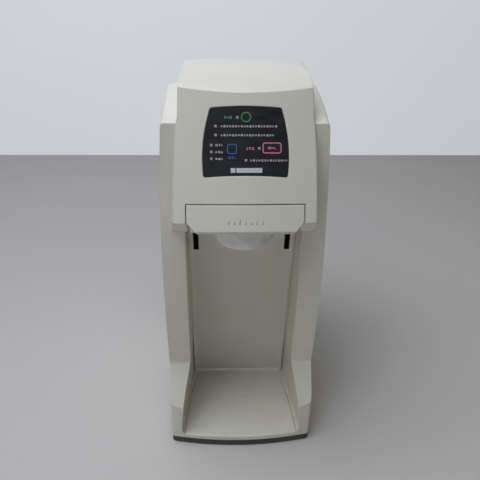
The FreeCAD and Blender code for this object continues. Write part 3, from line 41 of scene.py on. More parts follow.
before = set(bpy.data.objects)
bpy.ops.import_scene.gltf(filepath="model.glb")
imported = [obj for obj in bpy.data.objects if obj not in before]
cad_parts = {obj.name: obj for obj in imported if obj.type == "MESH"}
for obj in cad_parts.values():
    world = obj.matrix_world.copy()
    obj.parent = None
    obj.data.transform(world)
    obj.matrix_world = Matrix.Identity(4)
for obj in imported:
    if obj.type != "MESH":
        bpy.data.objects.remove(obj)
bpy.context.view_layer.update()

MM = 0.001

# The leaning front of the head: its foot line, its lean and the radius of its bow.
# Places on it are given as side, up the slope and out of the surface.
BODY_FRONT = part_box("base_tray")[0].y
FACE_FOOT = Vector((0.0, BODY_FRONT - 19.0 * MM, 438.0 * MM))
FACE_RUN = 59.0
FACE_RISE = 160.0
FACE_LEAN = math.atan2(FACE_RUN, FACE_RISE)
FACE_BOW = 648.1 * MM
FACE_UP = Vector((0.0, math.sin(FACE_LEAN), math.cos(FACE_LEAN)))
FACE_OUT = Vector((0.0, -math.cos(FACE_LEAN), math.sin(FACE_LEAN)))

# A mesh on the bowed face is cut across at steps of this many millimetres, to follow the bow.
FACE_STEP = 4.0

# Middles of the keys, as side and up in millimetres.
POWER_KEY = (0.2, 139.6)
SPEED_KEY = (-18.1, 98.9)
DISPENSE_KEY = (34.2, 100.3)

# How far the panel lies under the face, how far a key stands out of the panel, and the print's thickness.
PANEL_SINK = 0.4
KEY_PROUD = 0.5
PRINT_THICKNESS = 0.08


# Sizes and colours that a user would change


class HousingSettings(bpy.types.PropertyGroup):
    """The moulded plastic of the housing."""

    shell: FloatVectorProperty(
        name="Shell colour", description="Off-white of the covers, head, drawer and tray", subtype="COLOR",
        size=3, default=(0.775, 0.77, 0.69))
    trim: FloatVectorProperty(
        name="Skirt colour", description="Dark brown of the band round the foot", subtype="COLOR",
        size=3, default=(0.070, 0.062, 0.053))
    grain: FloatProperty(
        name="Grain", description="Size of the moulded grain", unit="LENGTH", default=0.0007)
    edge: FloatProperty(
        name="Edge softness", description="Radius that moulded edges seem rounded by", unit="LENGTH",
        default=0.0024)
    gloss: FloatProperty(
        name="Roughness", description="How matt the plastic is", default=0.32, min=0.0, max=1.0)


class PanelSettings(bpy.types.PropertyGroup):
    """The dark control panel with its printed marks."""

    film: FloatVectorProperty(
        name="Film colour", description="Near-black of the panel film", subtype="COLOR",
        size=3, default=(0.0065, 0.0078, 0.0105))
    pale: FloatVectorProperty(
        name="Pale print", description="Colour of the pale marks", subtype="COLOR",
        size=3, default=(0.62, 0.61, 0.66))
    green: FloatVectorProperty(
        name="Green print", description="Colour of the power marks", subtype="COLOR",
        size=3, default=(0.08, 0.42, 0.17))
    blue: FloatVectorProperty(
        name="Blue print", description="Colour of the speed marks", subtype="COLOR",
        size=3, default=(0.07, 0.15, 0.58))
    pink: FloatVectorProperty(
        name="Pink print", description="Colour of the dispense marks", subtype="COLOR",
        size=3, default=(0.80, 0.24, 0.36))
    line: FloatProperty(
        name="Ring line", description="Width of the rings round the keys", unit="LENGTH", default=0.0012)


class MechanismSettings(bpy.types.PropertyGroup):
    """Metal and plastic of the moving parts."""

    thread_lead: FloatProperty(
        name="Thread lead", description="Rise of the press screw in one turn", unit="LENGTH", default=0.016)
    thread_starts: IntProperty(
        name="Thread starts", description="Threads that run side by side", default=4, min=1)
    steel: FloatVectorProperty(
        name="Steel", description="Ground steel", subtype="COLOR", size=3, default=(0.56, 0.57, 0.58))
    cup: FloatVectorProperty(
        name="Cup colour", description="Milky plastic of the portion cup", subtype="COLOR",
        size=3, default=(0.90, 0.91, 0.91))


class StageSettings(bpy.types.PropertyGroup):
    """Floor, backdrop, lamps and camera."""

    floor: FloatVectorProperty(
        name="Floor colour", description="Pale floor", subtype="COLOR",
        size=3, default=(0.655, 0.635, 0.605))
    backdrop: FloatVectorProperty(
        name="Backdrop colour", description="Pale backdrop", subtype="COLOR",
        size=3, default=(0.42, 0.43, 0.45))
    ambient: FloatProperty(
        name="Ambient", description="Strength of the light from all round", default=0.10, min=0.0)
    ceiling: FloatProperty(
        name="Ceiling light", description="Power of the light overhead, in watts", default=36.0, min=0.0)
    window: FloatProperty(
        name="Side light", description="Power of the light from the left, in watts", default=1.9, min=0.0)
    front: FloatProperty(
        name="Front glint", description="Power of the light that only shines in reflections, in watts",
        default=9.0, min=0.0)
    yaw: FloatProperty(name="Camera yaw", description="Turn to the right", subtype="ANGLE",
                       default=math.radians(2.41))
    pitch: FloatProperty(name="Camera pitch", description="Tilt downwards", subtype="ANGLE",
                         default=math.radians(28.45))
    roll: FloatProperty(name="Camera roll", description="Turn about the line of sight", subtype="ANGLE",
                        default=math.radians(-0.85))


def settings(name):
    """One group of settings of the scene."""
    return getattr(bpy.context.scene, "dispenser_" + name)


# Shading


class Value:
    """A node's output in an expression: plain operators add the nodes that work it out."""

    def __init__(self, shader, socket):
        self.shader = shader
        self.socket = socket

    def combine(self, operation, first, second):
        return self.shader.node("ShaderNodeMath", {"operation": operation}, {0: first, 1: second})

    def __add__(self, other):
        return self.combine("ADD", self, other)

    def __radd__(self, other):
        return self.combine("ADD", other, self)

    def __sub__(self, other):
        return self.combine("SUBTRACT", self, other)

    def __rsub__(self, other):
        return self.combine("SUBTRACT", other, self)

    def __mul__(self, other):
        return self.combine("MULTIPLY", self, other)

    def __rmul__(self, other):
        return self.combine("MULTIPLY", other, self)

    def above(self, level):
        return self.combine("GREATER_THAN", self, level)

    def below(self, level):
        return self.combine("LESS_THAN", self, level)

    def most(self, other):
        return self.combine("MAXIMUM", self, other)

    def bearing(self, other):
        return self.combine("ARCTAN2", self, other)

    def sine(self):
        return self.shader.node("ShaderNodeMath", {"operation": "SINE"}, {0: self})


class Shader:
    """One material and the nodes that feed its surface."""

    def __init__(self, name):
        self.material = bpy.data.materials.new(name)
        self.material.use_nodes = True
        self.tree = self.material.node_tree
        self.surface = self.tree.nodes["Principled BSDF"]
        self.place = self.node("ShaderNodeTexCoord", {}, {}, "Object")

    def node(self, kind, options, inputs, output=0):
        """Adds a node, sets its options first, then gives its sockets values or links."""
        item = self.tree.nodes.new(kind)
        for option, value in options.items():
            setattr(item, option, value)
        for socket, value in inputs.items():
            self.feed(item.inputs[socket], value)
        return Value(self, item.outputs[output])

    def feed(self, socket, value):
        """Links a Value to a socket, or sets the socket to a plain value."""
        if isinstance(value, Value):
            self.tree.links.new(value.socket, socket)
        elif socket.type == "RGBA" and len(value) == 3:
            socket.default_value = (*value, 1.0)
        else:
            socket.default_value = value

    def put(self, **inputs):
        """Sets sockets of the surface, with spaces in their names written as underscores."""
        for name, value in inputs.items():
            self.feed(self.surface.inputs[name.replace("_", " ")], value)

    def noise(self, size, detail=3.0, roughness=0.5, place=None):
        """Cloudy noise whose blobs are about size metres across."""
        return self.node("ShaderNodeTexNoise", {}, {
            "Vector": place or self.place, "Scale": 1.0 / size, "Detail": detail, "Roughness": roughness})

    def cells(self, size):
        """Distance to the middle of cells that are about size metres across."""
        return self.node("ShaderNodeTexVoronoi", {}, {"Vector": self.place, "Scale": 1.0 / size})

    def stretched(self, x, y, z):
        """Object coordinates scaled along the axes, for brushed or drawn patterns."""
        return self.node("ShaderNodeMapping", {"vector_type": "POINT"},
                         {"Vector": self.place, "Scale": (x, y, z)})

    def axis(self, letter):
        """One coordinate of the place, in metres."""
        return self.node("ShaderNodeSeparateXYZ", {}, {0: self.place}, letter)

    def facing_up(self):
        """How far a surface faces up, from 0 to 1."""
        normal = self.node("ShaderNodeNewGeometry", {}, {}, "Normal")
        return self.node("ShaderNodeSeparateXYZ", {}, {0: normal}, "Z").most(0.0)

    def ramp(self, value, low, high, start=0.0, end=1.0):
        """A value moved from one range to another and kept inside it."""
        return self.node("ShaderNodeMapRange", {"clamp": True}, {
            "Value": value, "From Min": low, "From Max": high, "To Min": start, "To Max": end})

    def mix(self, share, first, second):
        """Two colours mixed by a share."""
        item = self.tree.nodes.new("ShaderNodeMix")
        item.data_type = "RGBA"
        self.feed(item.inputs["Factor"], share)
        for name, colour in (("A", first), ("B", second)):
            self.feed(next(i for i in item.inputs if i.name == name and i.type == "RGBA"), colour)
        return Value(self, next(o for o in item.outputs if o.type == "RGBA"))

    def bump(self, height, strength, depth, edge=0.0):
        """A normal from a height, on edges that look rounded by a radius."""
        sockets = {"Height": height, "Strength": strength, "Distance": depth}
        if edge:
            sockets["Normal"] = self.node("ShaderNodeBevel", {"samples": 6}, {"Radius": edge})
        return self.node("ShaderNodeBump", {}, sockets)


def shade(colour, factor):
    """A colour made lighter or darker."""
    return tuple(min(1.0, channel * factor) for channel in colour)


def tinted(colour, red, green, blue):
    """A colour with each channel scaled."""
    return (colour[0] * red, colour[1] * green, colour[2] * blue)


def moulded_plastic(name, colour, roughness, grain, edge, dust=0.25):
    """Moulded off-white plastic: fine grain, slow colour drift, faint scuffs and dust on top."""
    shader = Shader(name)
    drift = shader.ramp(shader.noise(0.16, detail=2.0), low=0.35, high=0.65)
    base = shader.mix(drift, shade(colour, 0.965), tinted(colour, 1.02, 1.015, 1.0))
    speck = shader.ramp(shader.cells(0.0042), low=0.0, high=0.11, start=0.35, end=0.0)
    base = shader.mix(speck * 0.35, base, shade(colour, 0.72))
    low = shader.ramp(shader.axis("Z"), low=0.045, high=0.012, start=0.0, end=0.35)
    scuffs = shader.ramp(shader.noise(0.02, detail=6.0, roughness=0.7), low=0.52, high=0.72)
    base = shader.mix(low * scuffs, base, tinted(colour, 0.66, 0.62, 0.56))
    settled = shader.ramp(shader.facing_up(), low=0.75, high=1.0, start=0.0, end=dust)
    patch = shader.ramp(shader.noise(0.05, detail=5.0, roughness=0.62), low=0.45, high=0.7)
    base = shader.mix(settled * patch, base, tinted(colour, 0.90, 0.88, 0.85))
    shader.put(Base_Color=base)
    scuffed = shader.ramp(scuffs, low=0.0, high=1.0, start=-0.03, end=0.06)
    shader.put(Roughness=roughness + settled * 0.3 + scuffed)
    pebble = shader.noise(grain, detail=2.0)
    wave = shader.noise(0.03, detail=1.0)
    shader.put(Normal=shader.bump(pebble * 0.25 + wave * 2.0, strength=0.22, depth=0.00022, edge=edge))
    shader.put(Specular_IOR_Level=0.5, Coat_Weight=0.12, Coat_Roughness=0.2)
    return shader.material


def plain_plastic(name, colour, roughness=0.5, grain=0.0006, strength=0.3):
    """Simple moulded plastic with a fine grain and slight drift."""
    shader = Shader(name)
    drift = shader.noise(0.02, detail=3.0)
    shader.put(Base_Color=shader.mix(drift, shade(colour, 0.88), shade(colour, 1.1)))
    wear = shader.noise(0.008, detail=4.0)
    shader.put(Roughness=shader.ramp(wear, low=0.3, high=0.7, start=roughness - 0.06, end=roughness + 0.08))
    shader.put(Normal=shader.bump(shader.noise(grain, detail=2.0), strength=strength, depth=0.0001))
    return shader.material


def panel_film(name, colour):
    """Dark screen-printed film: satin, with a fine emboss and a little dust."""
    shader = Shader(name)
    dust = shader.ramp(shader.cells(0.0031), low=0.0, high=0.05, start=0.6, end=0.0)
    smear = shader.noise(0.018, detail=5.0, roughness=0.65, place=shader.stretched(1.0, 1.0, 3.0))
    wipe = shader.ramp(smear, low=0.4, high=0.7)
    base = shader.mix(wipe, colour, shade(colour, 1.7))
    base = shader.mix(dust * 0.12, base, (0.30, 0.30, 0.31))
    shader.put(Base_Color=base, Roughness=shader.ramp(wipe, low=0.0, high=1.0, start=0.36, end=0.52))
    shader.put(Normal=shader.bump(shader.noise(0.0004, detail=1.0), strength=0.12, depth=0.00005))
    return shader.material


def printed_ink(name, colour):
    """Screen ink: nearly flat, with slightly uneven cover."""
    shader = Shader(name)
    cover = shader.ramp(shader.noise(0.0016, detail=3.0), low=0.3, high=0.65)
    shader.put(Base_Color=shader.mix(cover, shade(colour, 0.78), colour))
    shader.put(Roughness=shader.ramp(cover, low=0.0, high=1.0, start=0.55, end=0.45))
    shader.put(Normal=shader.bump(cover, strength=0.1, depth=0.00003))
    return shader.material


# Levels and sides, in metres, that part the lenses by their tint.
POWER_LENS_ABOVE = 0.560
NOTICE_LENS_ABOVE = 0.530
NOTICE_LENS_LEFT_OF = -0.035
REMOVE_LENS_BELOW = 0.5195
REMOVE_LENS_RIGHT_OF = -0.01


def lamp_lens(name):
    """Small diffusing lenses: greenish at the top, pinkish for the notices, clear for the rest."""
    shader = Shader(name)
    side, level = shader.axis("X"), shader.axis("Z")
    top = level.above(POWER_LENS_ABOVE)
    notices = level.above(NOTICE_LENS_ABOVE) * side.below(NOTICE_LENS_LEFT_OF)
    last = level.below(REMOVE_LENS_BELOW) * side.above(REMOVE_LENS_RIGHT_OF)
    colour = shader.mix(notices.most(last), (0.36, 0.37, 0.34), (0.46, 0.30, 0.31))
    colour = shader.mix(top, colour, (0.32, 0.40, 0.32))
    haze = shader.ramp(shader.noise(0.0012, detail=2.0), low=0.3, high=0.7)
    shader.put(Base_Color=shader.mix(haze, shade((0.5, 0.5, 0.5), 0.9), colour))
    shader.put(Roughness=shader.ramp(haze, low=0.0, high=1.0, start=0.2, end=0.32))
    shader.put(Normal=shader.bump(haze, strength=0.1, depth=0.00005))
    return shader.material


# Coordinates along drawn marks are scaled by this, which makes the marks long.
STREAK_STRETCH = 0.03


def drawn_metal(name, colour, roughness, along="Z", streak=0.0006):
    """Metal with fine marks along one axis."""
    shader = Shader(name)
    lines = shader.noise(streak, detail=3.0, roughness=0.6, place=shader.stretched(
        *(STREAK_STRETCH if letter == along else 1.0 for letter in "XYZ")))
    cloud = shader.noise(0.03, detail=3.0)
    shader.put(Base_Color=shader.mix(cloud, shade(colour, 0.85), shade(colour, 1.08)))
    shader.put(Metallic=shader.ramp(cloud, low=0.2, high=0.8, start=0.9, end=1.0))
    shader.put(Roughness=shader.ramp(lines, low=0.3, high=0.7, start=roughness - 0.08, end=roughness + 0.1))
    shader.put(Normal=shader.bump(lines, strength=0.15, depth=0.00006))
    return shader.material


def plated_sheet(name, colour):
    """Zinc-plated sheet with its crystal pattern."""
    shader = Shader(name)
    crystal = shader.node("ShaderNodeTexVoronoi", {}, {"Vector": shader.place, "Scale": 90.0}, "Color")
    grey = shader.node("ShaderNodeSeparateColor", {}, {0: crystal}, 0)
    shader.put(Base_Color=shader.mix(grey, shade(colour, 0.8), shade(colour, 1.1)))
    shader.put(Metallic=shader.ramp(grey, low=0.0, high=1.0, start=0.85, end=1.0))
    shader.put(Roughness=shader.ramp(grey, low=0.0, high=1.0, start=0.32, end=0.5))
    shader.put(Normal=shader.bump(shader.noise(0.004, detail=4.0), strength=0.08, depth=0.0002))
    return shader.material


def rubber(name, colour):
    """Dull rubber with a dusty bloom."""
    shader = Shader(name)
    bloom = shader.ramp(shader.noise(0.01, detail=5.0, roughness=0.7), low=0.4, high=0.7)
    shader.put(Base_Color=shader.mix(bloom, colour, shade(colour, 2.0)))
    shader.put(Roughness=shader.ramp(bloom, low=0.0, high=1.0, start=0.7, end=0.9))
    shader.put(Normal=shader.bump(shader.noise(0.0008, detail=3.0), strength=0.4, depth=0.0002))
    return shader.material


CUP_RIBS = 36.0


def milky_cup(name, colour):
    """See-through moulded cup: milky, with faint flow rings and upright ribs."""
    shader = Shader(name)
    rings = shader.node("ShaderNodeTexWave", {"bands_direction": "Z"},
                        {"Vector": shader.place, "Scale": 55.0, "Distortion": 1.2, "Detail": 2.0})
    cloud = shader.ramp(shader.noise(0.012, detail=3.0), low=0.3, high=0.7)
    shader.put(Base_Color=shader.mix(cloud, shade(colour, 0.93), shade(colour, 1.06)))
    shader.put(Roughness=shader.ramp(rings, low=0.0, high=1.0, start=0.16, end=0.30))
    shader.put(Alpha=shader.ramp(cloud, low=0.0, high=1.0, start=0.92, end=0.98))
    low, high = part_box("portion_cup")
    turn = (shader.axis("Y") - (low.y + high.y) / 2).bearing(shader.axis("X"))
    ribs = (turn * CUP_RIBS).sine()
    shader.put(Normal=shader.bump(rings * 0.3 + ribs * 0.3, strength=0.25, depth=0.0003))
    return shader.material


def board_coat(name):
    """Green circuit board with faint tracks under its coat."""
    shader = Shader(name)
    tracks = shader.node("ShaderNodeTexBrick", {"offset": 0.5}, {
        "Vector": shader.place, "Scale": 120.0, "Mortar Size": 0.06}, "Fac")
    base = shader.mix(tracks, (0.012, 0.11, 0.045), (0.03, 0.22, 0.09))
    shader.put(Base_Color=base, Roughness=shader.ramp(tracks, low=0.0, high=1.0, start=0.25, end=0.35))
    shader.put(Normal=shader.bump(tracks, strength=0.2, depth=0.00005))
    return shader.material


FINISHES = {}


def finish(name):
    """A finish by name, made once."""
    if name not in FINISHES:
        FINISHES[name] = RECIPES[name]()
    return FINISHES[name]


def shell_plastic(name, softness=1.0):
    """The housing's plastic, with its edges softened by a share of the full radius."""
    housing = settings("housing")
    return moulded_plastic(name, tuple(housing.shell), housing.gloss, housing.grain,
                           housing.edge * softness)


def chosen(group, name):
    """A colour from the settings."""
    return tuple(getattr(settings(group), name))


# How each finish is made, by its short name.
RECIPES = {
    "shell": lambda: shell_plastic("shell_plastic"),
    "side": lambda: shell_plastic("side_plastic", softness=0.4),
    "bay": lambda: shell_plastic("bay_plastic", softness=0.16),
    "skirt": lambda: plain_plastic("skirt_plastic", chosen("housing", "trim"), roughness=0.6, grain=0.0009),
    "film": lambda: panel_film("panel_film", chosen("panel", "film")),
    "key": lambda: panel_film("key_film", shade(chosen("panel", "film"), 1.25)),
    "bar": lambda: printed_ink("bar_ink", (0.74, 0.75, 0.80)),
    "lens": lambda: lamp_lens("lamp_lens"),
    "diode": lambda: plain_plastic("diode_body", (0.5, 0.5, 0.46), roughness=0.3),
    "slot": lambda: plain_plastic("slot_lining", (0.006, 0.006, 0.006)),
    "steel": lambda: drawn_metal("ground_steel", chosen("mechanism", "steel"), roughness=0.26, along="Z"),
    "rail": lambda: drawn_metal("rail_aluminium", (0.62, 0.63, 0.64), roughness=0.38, along="Y"),
    "machined": lambda: drawn_metal("machined_aluminium", (0.60, 0.61, 0.62), roughness=0.36, along="X",
                                    streak=0.0009),
    "bronze": lambda: drawn_metal("nut_bronze", (0.55, 0.38, 0.16), roughness=0.34, along="Z"),
    "sheet": lambda: plated_sheet("plated_sheet", (0.50, 0.51, 0.52)),
    "rubber": lambda: rubber("foot_rubber", (0.022, 0.022, 0.022)),
    "cup": lambda: milky_cup("milky_cup", chosen("mechanism", "cup")),
    "white": lambda: plain_plastic("white_plastic", (0.68, 0.69, 0.67), roughness=0.42, grain=0.0008),
    "board": lambda: board_coat("board_coat"),
    "dark": lambda: plain_plastic("dark_plastic", (0.018, 0.018, 0.019), roughness=0.45),
    "enamel": lambda: plain_plastic("motor_enamel", (0.026, 0.028, 0.032), roughness=0.32, grain=0.001,
                                    strength=0.5),
}
for ink in ("pale", "green", "blue", "pink"):
    RECIPES[ink] = lambda ink=ink: printed_ink(ink + "_ink", chosen("panel", ink))

# The finish of each solid that is carried over as it is.
CARRIED = {
    "shell": ["rear_cover", "head_cover", "drawer_front", "drawer_table"],
    "side": ["left_side_cover", "right_side_cover"],
    "bay": ["base_tray", "bay_back_panel"],
    "skirt": ["foot_skirt"],
    "film": ["control_panel"],
    "key": ["power_key", "speed_key", "dispense_key"],
    "lens": ["lamp_windows"],
    "diode": ["indicator_lamps"],
    "slot": ["slot_linings"],
    "sheet": ["base_pan", "chassis_plate", "lower_bracket", "upper_bracket"],
    "steel": ["piston_rod", "screw_gear", "motor_pinion", "guide_rods", "screw_bearings", "bracket_screws"],
    "rail": ["left_drawer_rail", "right_drawer_rail"],
    "machined": ["crosshead", "motor_gearbox"],
    "bronze": ["screw_nut"],
    "white": ["left_drawer_arm", "right_drawer_arm", "star_nozzle", "press_piston", "board_posts"],
    "cup": ["portion_cup"],
    "board": ["control_board"],
    "dark": ["key_contacts", "drawer_switch", "mains_inlet"],
}


# Mesh helpers

MERGE_WITHIN = 0.001 * MM
SHARP_ABOVE = math.radians(35.0)


def on_face(side, up, out):
    """A point on the bowed face, from millimetres."""
    sag = FACE_BOW - math.sqrt(FACE_BOW ** 2 - (side * MM) ** 2)
    return FACE_FOOT + FACE_UP * up * MM + FACE_OUT * (out * MM - sag) + Vector((side * MM, 0.0, 0.0))


def lay_on_face(bm, sunk):
    """Moves a mesh that is drawn flat in millimetres, with z out of the face, onto the face."""
    sides = [vertex.co.x for vertex in bm.verts]
    cut_at = math.ceil(min(sides) / FACE_STEP) * FACE_STEP
    while cut_at < max(sides):
        bmesh.ops.bisect_plane(bm, geom=bm.verts[:] + bm.edges[:] + bm.faces[:],
                               plane_co=(cut_at, 0.0, 0.0), plane_no=(1.0, 0.0, 0.0))
        cut_at += FACE_STEP
    for vertex in bm.verts:
        vertex.co = on_face(vertex.co.x, vertex.co.y, vertex.co.z - sunk)


def place_piece(bm, name, body, look, replaces=()):
    """Makes the finished mesh a piece that rides on a body."""
    bmesh.ops.remove_doubles(bm, verts=bm.verts, dist=MERGE_WITHIN)
    bmesh.ops.recalc_face_normals(bm, faces=bm.faces)
    mesh = bpy.data.meshes.new(name)
    bm.to_mesh(mesh)
    bm.free()
    mesh.shade_smooth()
    mesh.set_sharp_from_angle(angle=SHARP_ABOVE)
    mesh.materials.append(finish(look))
    piece = bpy.data.objects.new(name, mesh)
    bpy.context.scene.collection.objects.link(piece)
    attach(piece, body)
    if replaces:
        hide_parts(*replaces)


def vertices_in(items):
    """The vertices among what an operator made."""
    return [item for item in items if isinstance(item, bmesh.types.BMVert)]


def joined_to(points):
    """The points and every vertex that edges join to them."""
    island = set(points)
    grown = set(island)
    while grown:
        near = {edge.other_vert(vertex) for vertex in grown for edge in vertex.link_edges}
        grown = near - island
        island |= grown
    return list(island)


def add_block(bm, low, high, bevel=0.0, segments=2):
    """A block between two corners with soft edges."""
    low, high = Vector(low), Vector(high)
    made = bmesh.ops.create_cube(bm, size=1.0)["verts"]
    bmesh.ops.scale(bm, vec=high - low, verts=made)
    bmesh.ops.translate(bm, vec=(low + high) / 2, verts=made)
    if bevel:
        edges = list({edge for vertex in made for edge in vertex.link_edges})
        bmesh.ops.bevel(bm, geom=edges, offset=bevel, segments=segments, affect="EDGES",
                        profile=0.5, material=-1, clamp_overlap=True)


def add_turned(bm, profile, x, y, steps=48):
    """A solid turned about an upright axis from (radius, height) points that start and end on it."""
    points = [bm.verts.new((radius, 0.0, height)) for radius, height in profile]
    edges = [bm.edges.new(pair) for pair in zip(points, points[1:])]
    bmesh.ops.spin(bm, geom=points + edges, cent=(0, 0, 0), axis=(0, 0, 1),
                   angle=math.tau, steps=steps, use_merge=True)
    made = joined_to(points)
    bmesh.ops.translate(bm, vec=(x, y, 0.0), verts=made)
    return made


def in_metres(points, radius=0.0, level=0.0):
    """Points in millimetres, as inwards from a radius and above a level, brought to metres."""
    return [(radius - inwards * MM, level + above * MM) for inwards, above in points]


def draw_out(bm, faces, height=0.0):
    """Draws flat faces up into a solid, and gives the vertices at its far end."""
    far = vertices_in(bmesh.ops.extrude_face_region(bm, geom=faces)["geom"])
    bmesh.ops.translate(bm, vec=(0.0, 0.0, height), verts=far)
    return far


def flat_ring(bm, outline, line, thickness):
    """A printed ring: the outline is a list of points in millimetres, counter-clockwise."""
    face = bm.faces.new([bm.verts.new((x, y, 0.0)) for x, y in outline])
    bm.normal_update()
    bmesh.ops.inset_individual(bm, faces=[face], thickness=line, use_even_offset=True)
    bmesh.ops.delete(bm, geom=[face], context="FACES_ONLY")
    draw_out(bm, bm.faces[:], thickness)


def soft_outline(half_x, half_y, corner, x, y, steps=8):
    """The outline of a rectangle with round corners."""
    points = []
    for turn, (side_x, side_y) in enumerate(((1, 1), (-1, 1), (-1, -1), (1, -1))):
        for step in range(steps + 1):
            angle = math.pi / 2 * (turn + step / steps)
            points.append((x + side_x * (half_x - corner) + corner * math.cos(angle),
                           y + side_y * (half_y - corner) + corner * math.sin(angle)))
    return points


def round_outline(radius, x, y, steps=48):
    """The outline of a circle."""
    return [(x + radius * math.cos(math.tau * step / steps), y + radius * math.sin(math.tau * step / steps))
            for step in range(steps)]


# Printed marks, with lengths in millimetres

# Rows of plain blocks: side where the row starts and ends, its place up the face, the height of
# its blocks and its ink.
MARK_ROWS = {
    "power_marks": (-28.2, -16.6, 139.5, 3.9, "green"),
    "notice_marks_upper": (-32.8, 42.0, 128.2, 3.1, "pale"),
    "notice_marks_lower": (-32.8, 37.6, 116.8, 3.1, "pale"),
    "speed_marks_high": (-39.8, -30.4, 104.1, 3.0, "pale"),
    "speed_marks_middle": (-39.8, -30.0, 95.2, 3.2, "pale"),
    "speed_marks_low": (-39.8, -30.4, 86.4, 3.0, "pale"),
    "speed_name_marks": (-22.9, -13.6, 88.0, 3.8, "blue"),
    "dispense_marks": (0.8, 11.4, 100.0, 4.2, "pink"),
    "remove_marks": (5.4, 54.6, 84.4, 3.0, "pale"),
}

# Blocks take the widths by turns, every third is shorter, and a row ends where no more than half
# of the narrowest fits. A bar fills a share of its pitch, and every other block has a stem.
BLOCK_GAP = 0.9
BLOCK_WIDTHS = (2.6, 3.3, 2.1, 2.9, 3.6, 2.4)
NARROWEST_BLOCK = min(BLOCK_WIDTHS) / 2
SHORT_BLOCK = 0.8
BAR_SHARE = 0.62
BAR_INSET = 0.35
STEM_HALF = 0.3
STEM_SHORTER = 0.2
STEM_THICKNESS = PRINT_THICKNESS * 0.9

# The blank bar below the keys: its two fields from side to side, and its foot and top.
NAME_FIELDS = ((-19.8, -13.6), (-12.2, 21.6))
NAME_LEVELS = (68.2, 74.4)
NAME_EDGE = 0.02


def mark_row(name, start, end, up, height, ink):
    """One row of blocks on the panel."""
    bm = bmesh.new()
    side = start
    index = len(name)
    while side < end - NARROWEST_BLOCK:
        width = min(BLOCK_WIDTHS[index % len(BLOCK_WIDTHS)], end - side)
        tall = height * (1.0 if index % 3 else SHORT_BLOCK)
        add_mark_block(bm, side, side + width, up - tall / 2, up + tall / 2, index)
        side += width + BLOCK_GAP
        index += 1
    lay_on_face(bm, PANEL_SINK)
    place_piece(bm, name, "housing", ink)


def add_mark_block(bm, left, right, low, high, index):
    """A block made of two or three short bars, with a stem through every other one."""
    bars = 2 + index % 2
    pitch = (high - low) / bars
    for bar in range(bars):
        inset = BAR_INSET if (bar + index) % 2 else 0.0
        add_block(bm, (left + inset, low + bar * pitch, 0.0),
                  (right - inset, low + bar * pitch + pitch * BAR_SHARE, PRINT_THICKNESS))
    if index % 2:
        middle = (left + right) / 2
        add_block(bm, (middle - STEM_HALF, low, 0.0),
                  (middle + STEM_HALF, high - STEM_SHORTER, STEM_THICKNESS))


class DISPENSER_OT_marks(bpy.types.Operator):
    """Print the panel's plain marks and its blank bar"""

    bl_idname = "dispenser.marks"
    bl_label = "Panel marks"

    def execute(self, context):
        for name, row in MARK_ROWS.items():
            mark_row(name, *row)
        bm = bmesh.new()
        foot, top = NAME_LEVELS
        for left, right in NAME_FIELDS:
            add_block(bm, (left, foot, 0.0), (right, top, PRINT_THICKNESS), bevel=NAME_EDGE, segments=1)
        lay_on_face(bm, PANEL_SINK)
        place_piece(bm, "name_bar_blank", "housing", "bar")
        return {"FINISHED"}


# The rings' radius, or half width, half height and corner, the dispense ring's line as a share, and
# the arrow's corners from its key's middle.
POWER_RING = 6.5
SPEED_RING = (6.5, 6.5, 3.0)
DISPENSE_RING = (12.5, 7.2, 3.4)
DISPENSE_LINE = 1.3
ARROW = ((-2.6, -2.6), (-2.6, -0.9), (3.4, -0.9), (6.0, -2.2),
         (3.2, 0.8), (-2.6, 0.8), (-2.6, 2.6), (-6.2, 0.0))


class DISPENSER_OT_rings(bpy.types.Operator):
    """Print the coloured rings on the keys and the dispense arrow"""

    bl_idname = "dispenser.rings"
    bl_label = "Key rings"

    def execute(self, context):
        line = settings("panel").line / MM
        rings = {
            "power": (round_outline(POWER_RING, *POWER_KEY), "green", line),
            "speed": (soft_outline(*SPEED_RING, *SPEED_KEY), "blue", line),
            "dispense": (soft_outline(*DISPENSE_RING, *DISPENSE_KEY), "pink", line * DISPENSE_LINE),
        }
        for key, (outline, ink, width) in rings.items():
            bm = bmesh.new()
            flat_ring(bm, outline, width, PRINT_THICKNESS)
            self.print_on_key(bm, key + "_ring", key + "_button", ink)
        bm = bmesh.new()
        side, up = DISPENSE_KEY
        face = bm.faces.new([bm.verts.new((side + x, up + y, 0.0)) for x, y in ARROW])
        draw_out(bm, [face], PRINT_THICKNESS)
        self.print_on_key(bm, "dispense_arrow", "dispense_button", "pink")
        return {"FINISHED"}

    def print_on_key(self, bm, name, body, ink):
        lay_on_face(bm, PANEL_SINK - KEY_PROUD)
        place_piece(bm, name, body, ink)


# The drawer's grip bars: how many, from one to the next, their middle up the face, and their sizes.
GRIP_BARS = 7
GRIP_PITCH = 7.6
GRIP_UP = 3.8
GRIP_HALF_WIDTH = 0.9
GRIP_HALF_HEIGHT = 4.0
GRIP_SUNK = 0.4
GRIP_PROUD = 0.22
GRIP_EDGE = 0.2


class DISPENSER_OT_grip(bpy.types.Operator):
    """Raise the plain grip bars on the drawer front"""

    bl_idname = "dispenser.grip"
    bl_label = "Drawer grip bars"

    def execute(self, context):
        bm = bmesh.new()
        for index in range(GRIP_BARS):
            side = (index - (GRIP_BARS - 1) / 2) * GRIP_PITCH
            add_block(bm, (side - GRIP_HALF_WIDTH, GRIP_UP - GRIP_HALF_HEIGHT, -GRIP_SUNK),
                      (side + GRIP_HALF_WIDTH, GRIP_UP + GRIP_HALF_HEIGHT, GRIP_PROUD),
                      bevel=GRIP_EDGE, segments=3)
        lay_on_face(bm, 0.0)
        place_piece(bm, "drawer_grip_bars", "drawer", "shell")
        return {"FINISHED"}


# Fittings, with lengths in millimetres

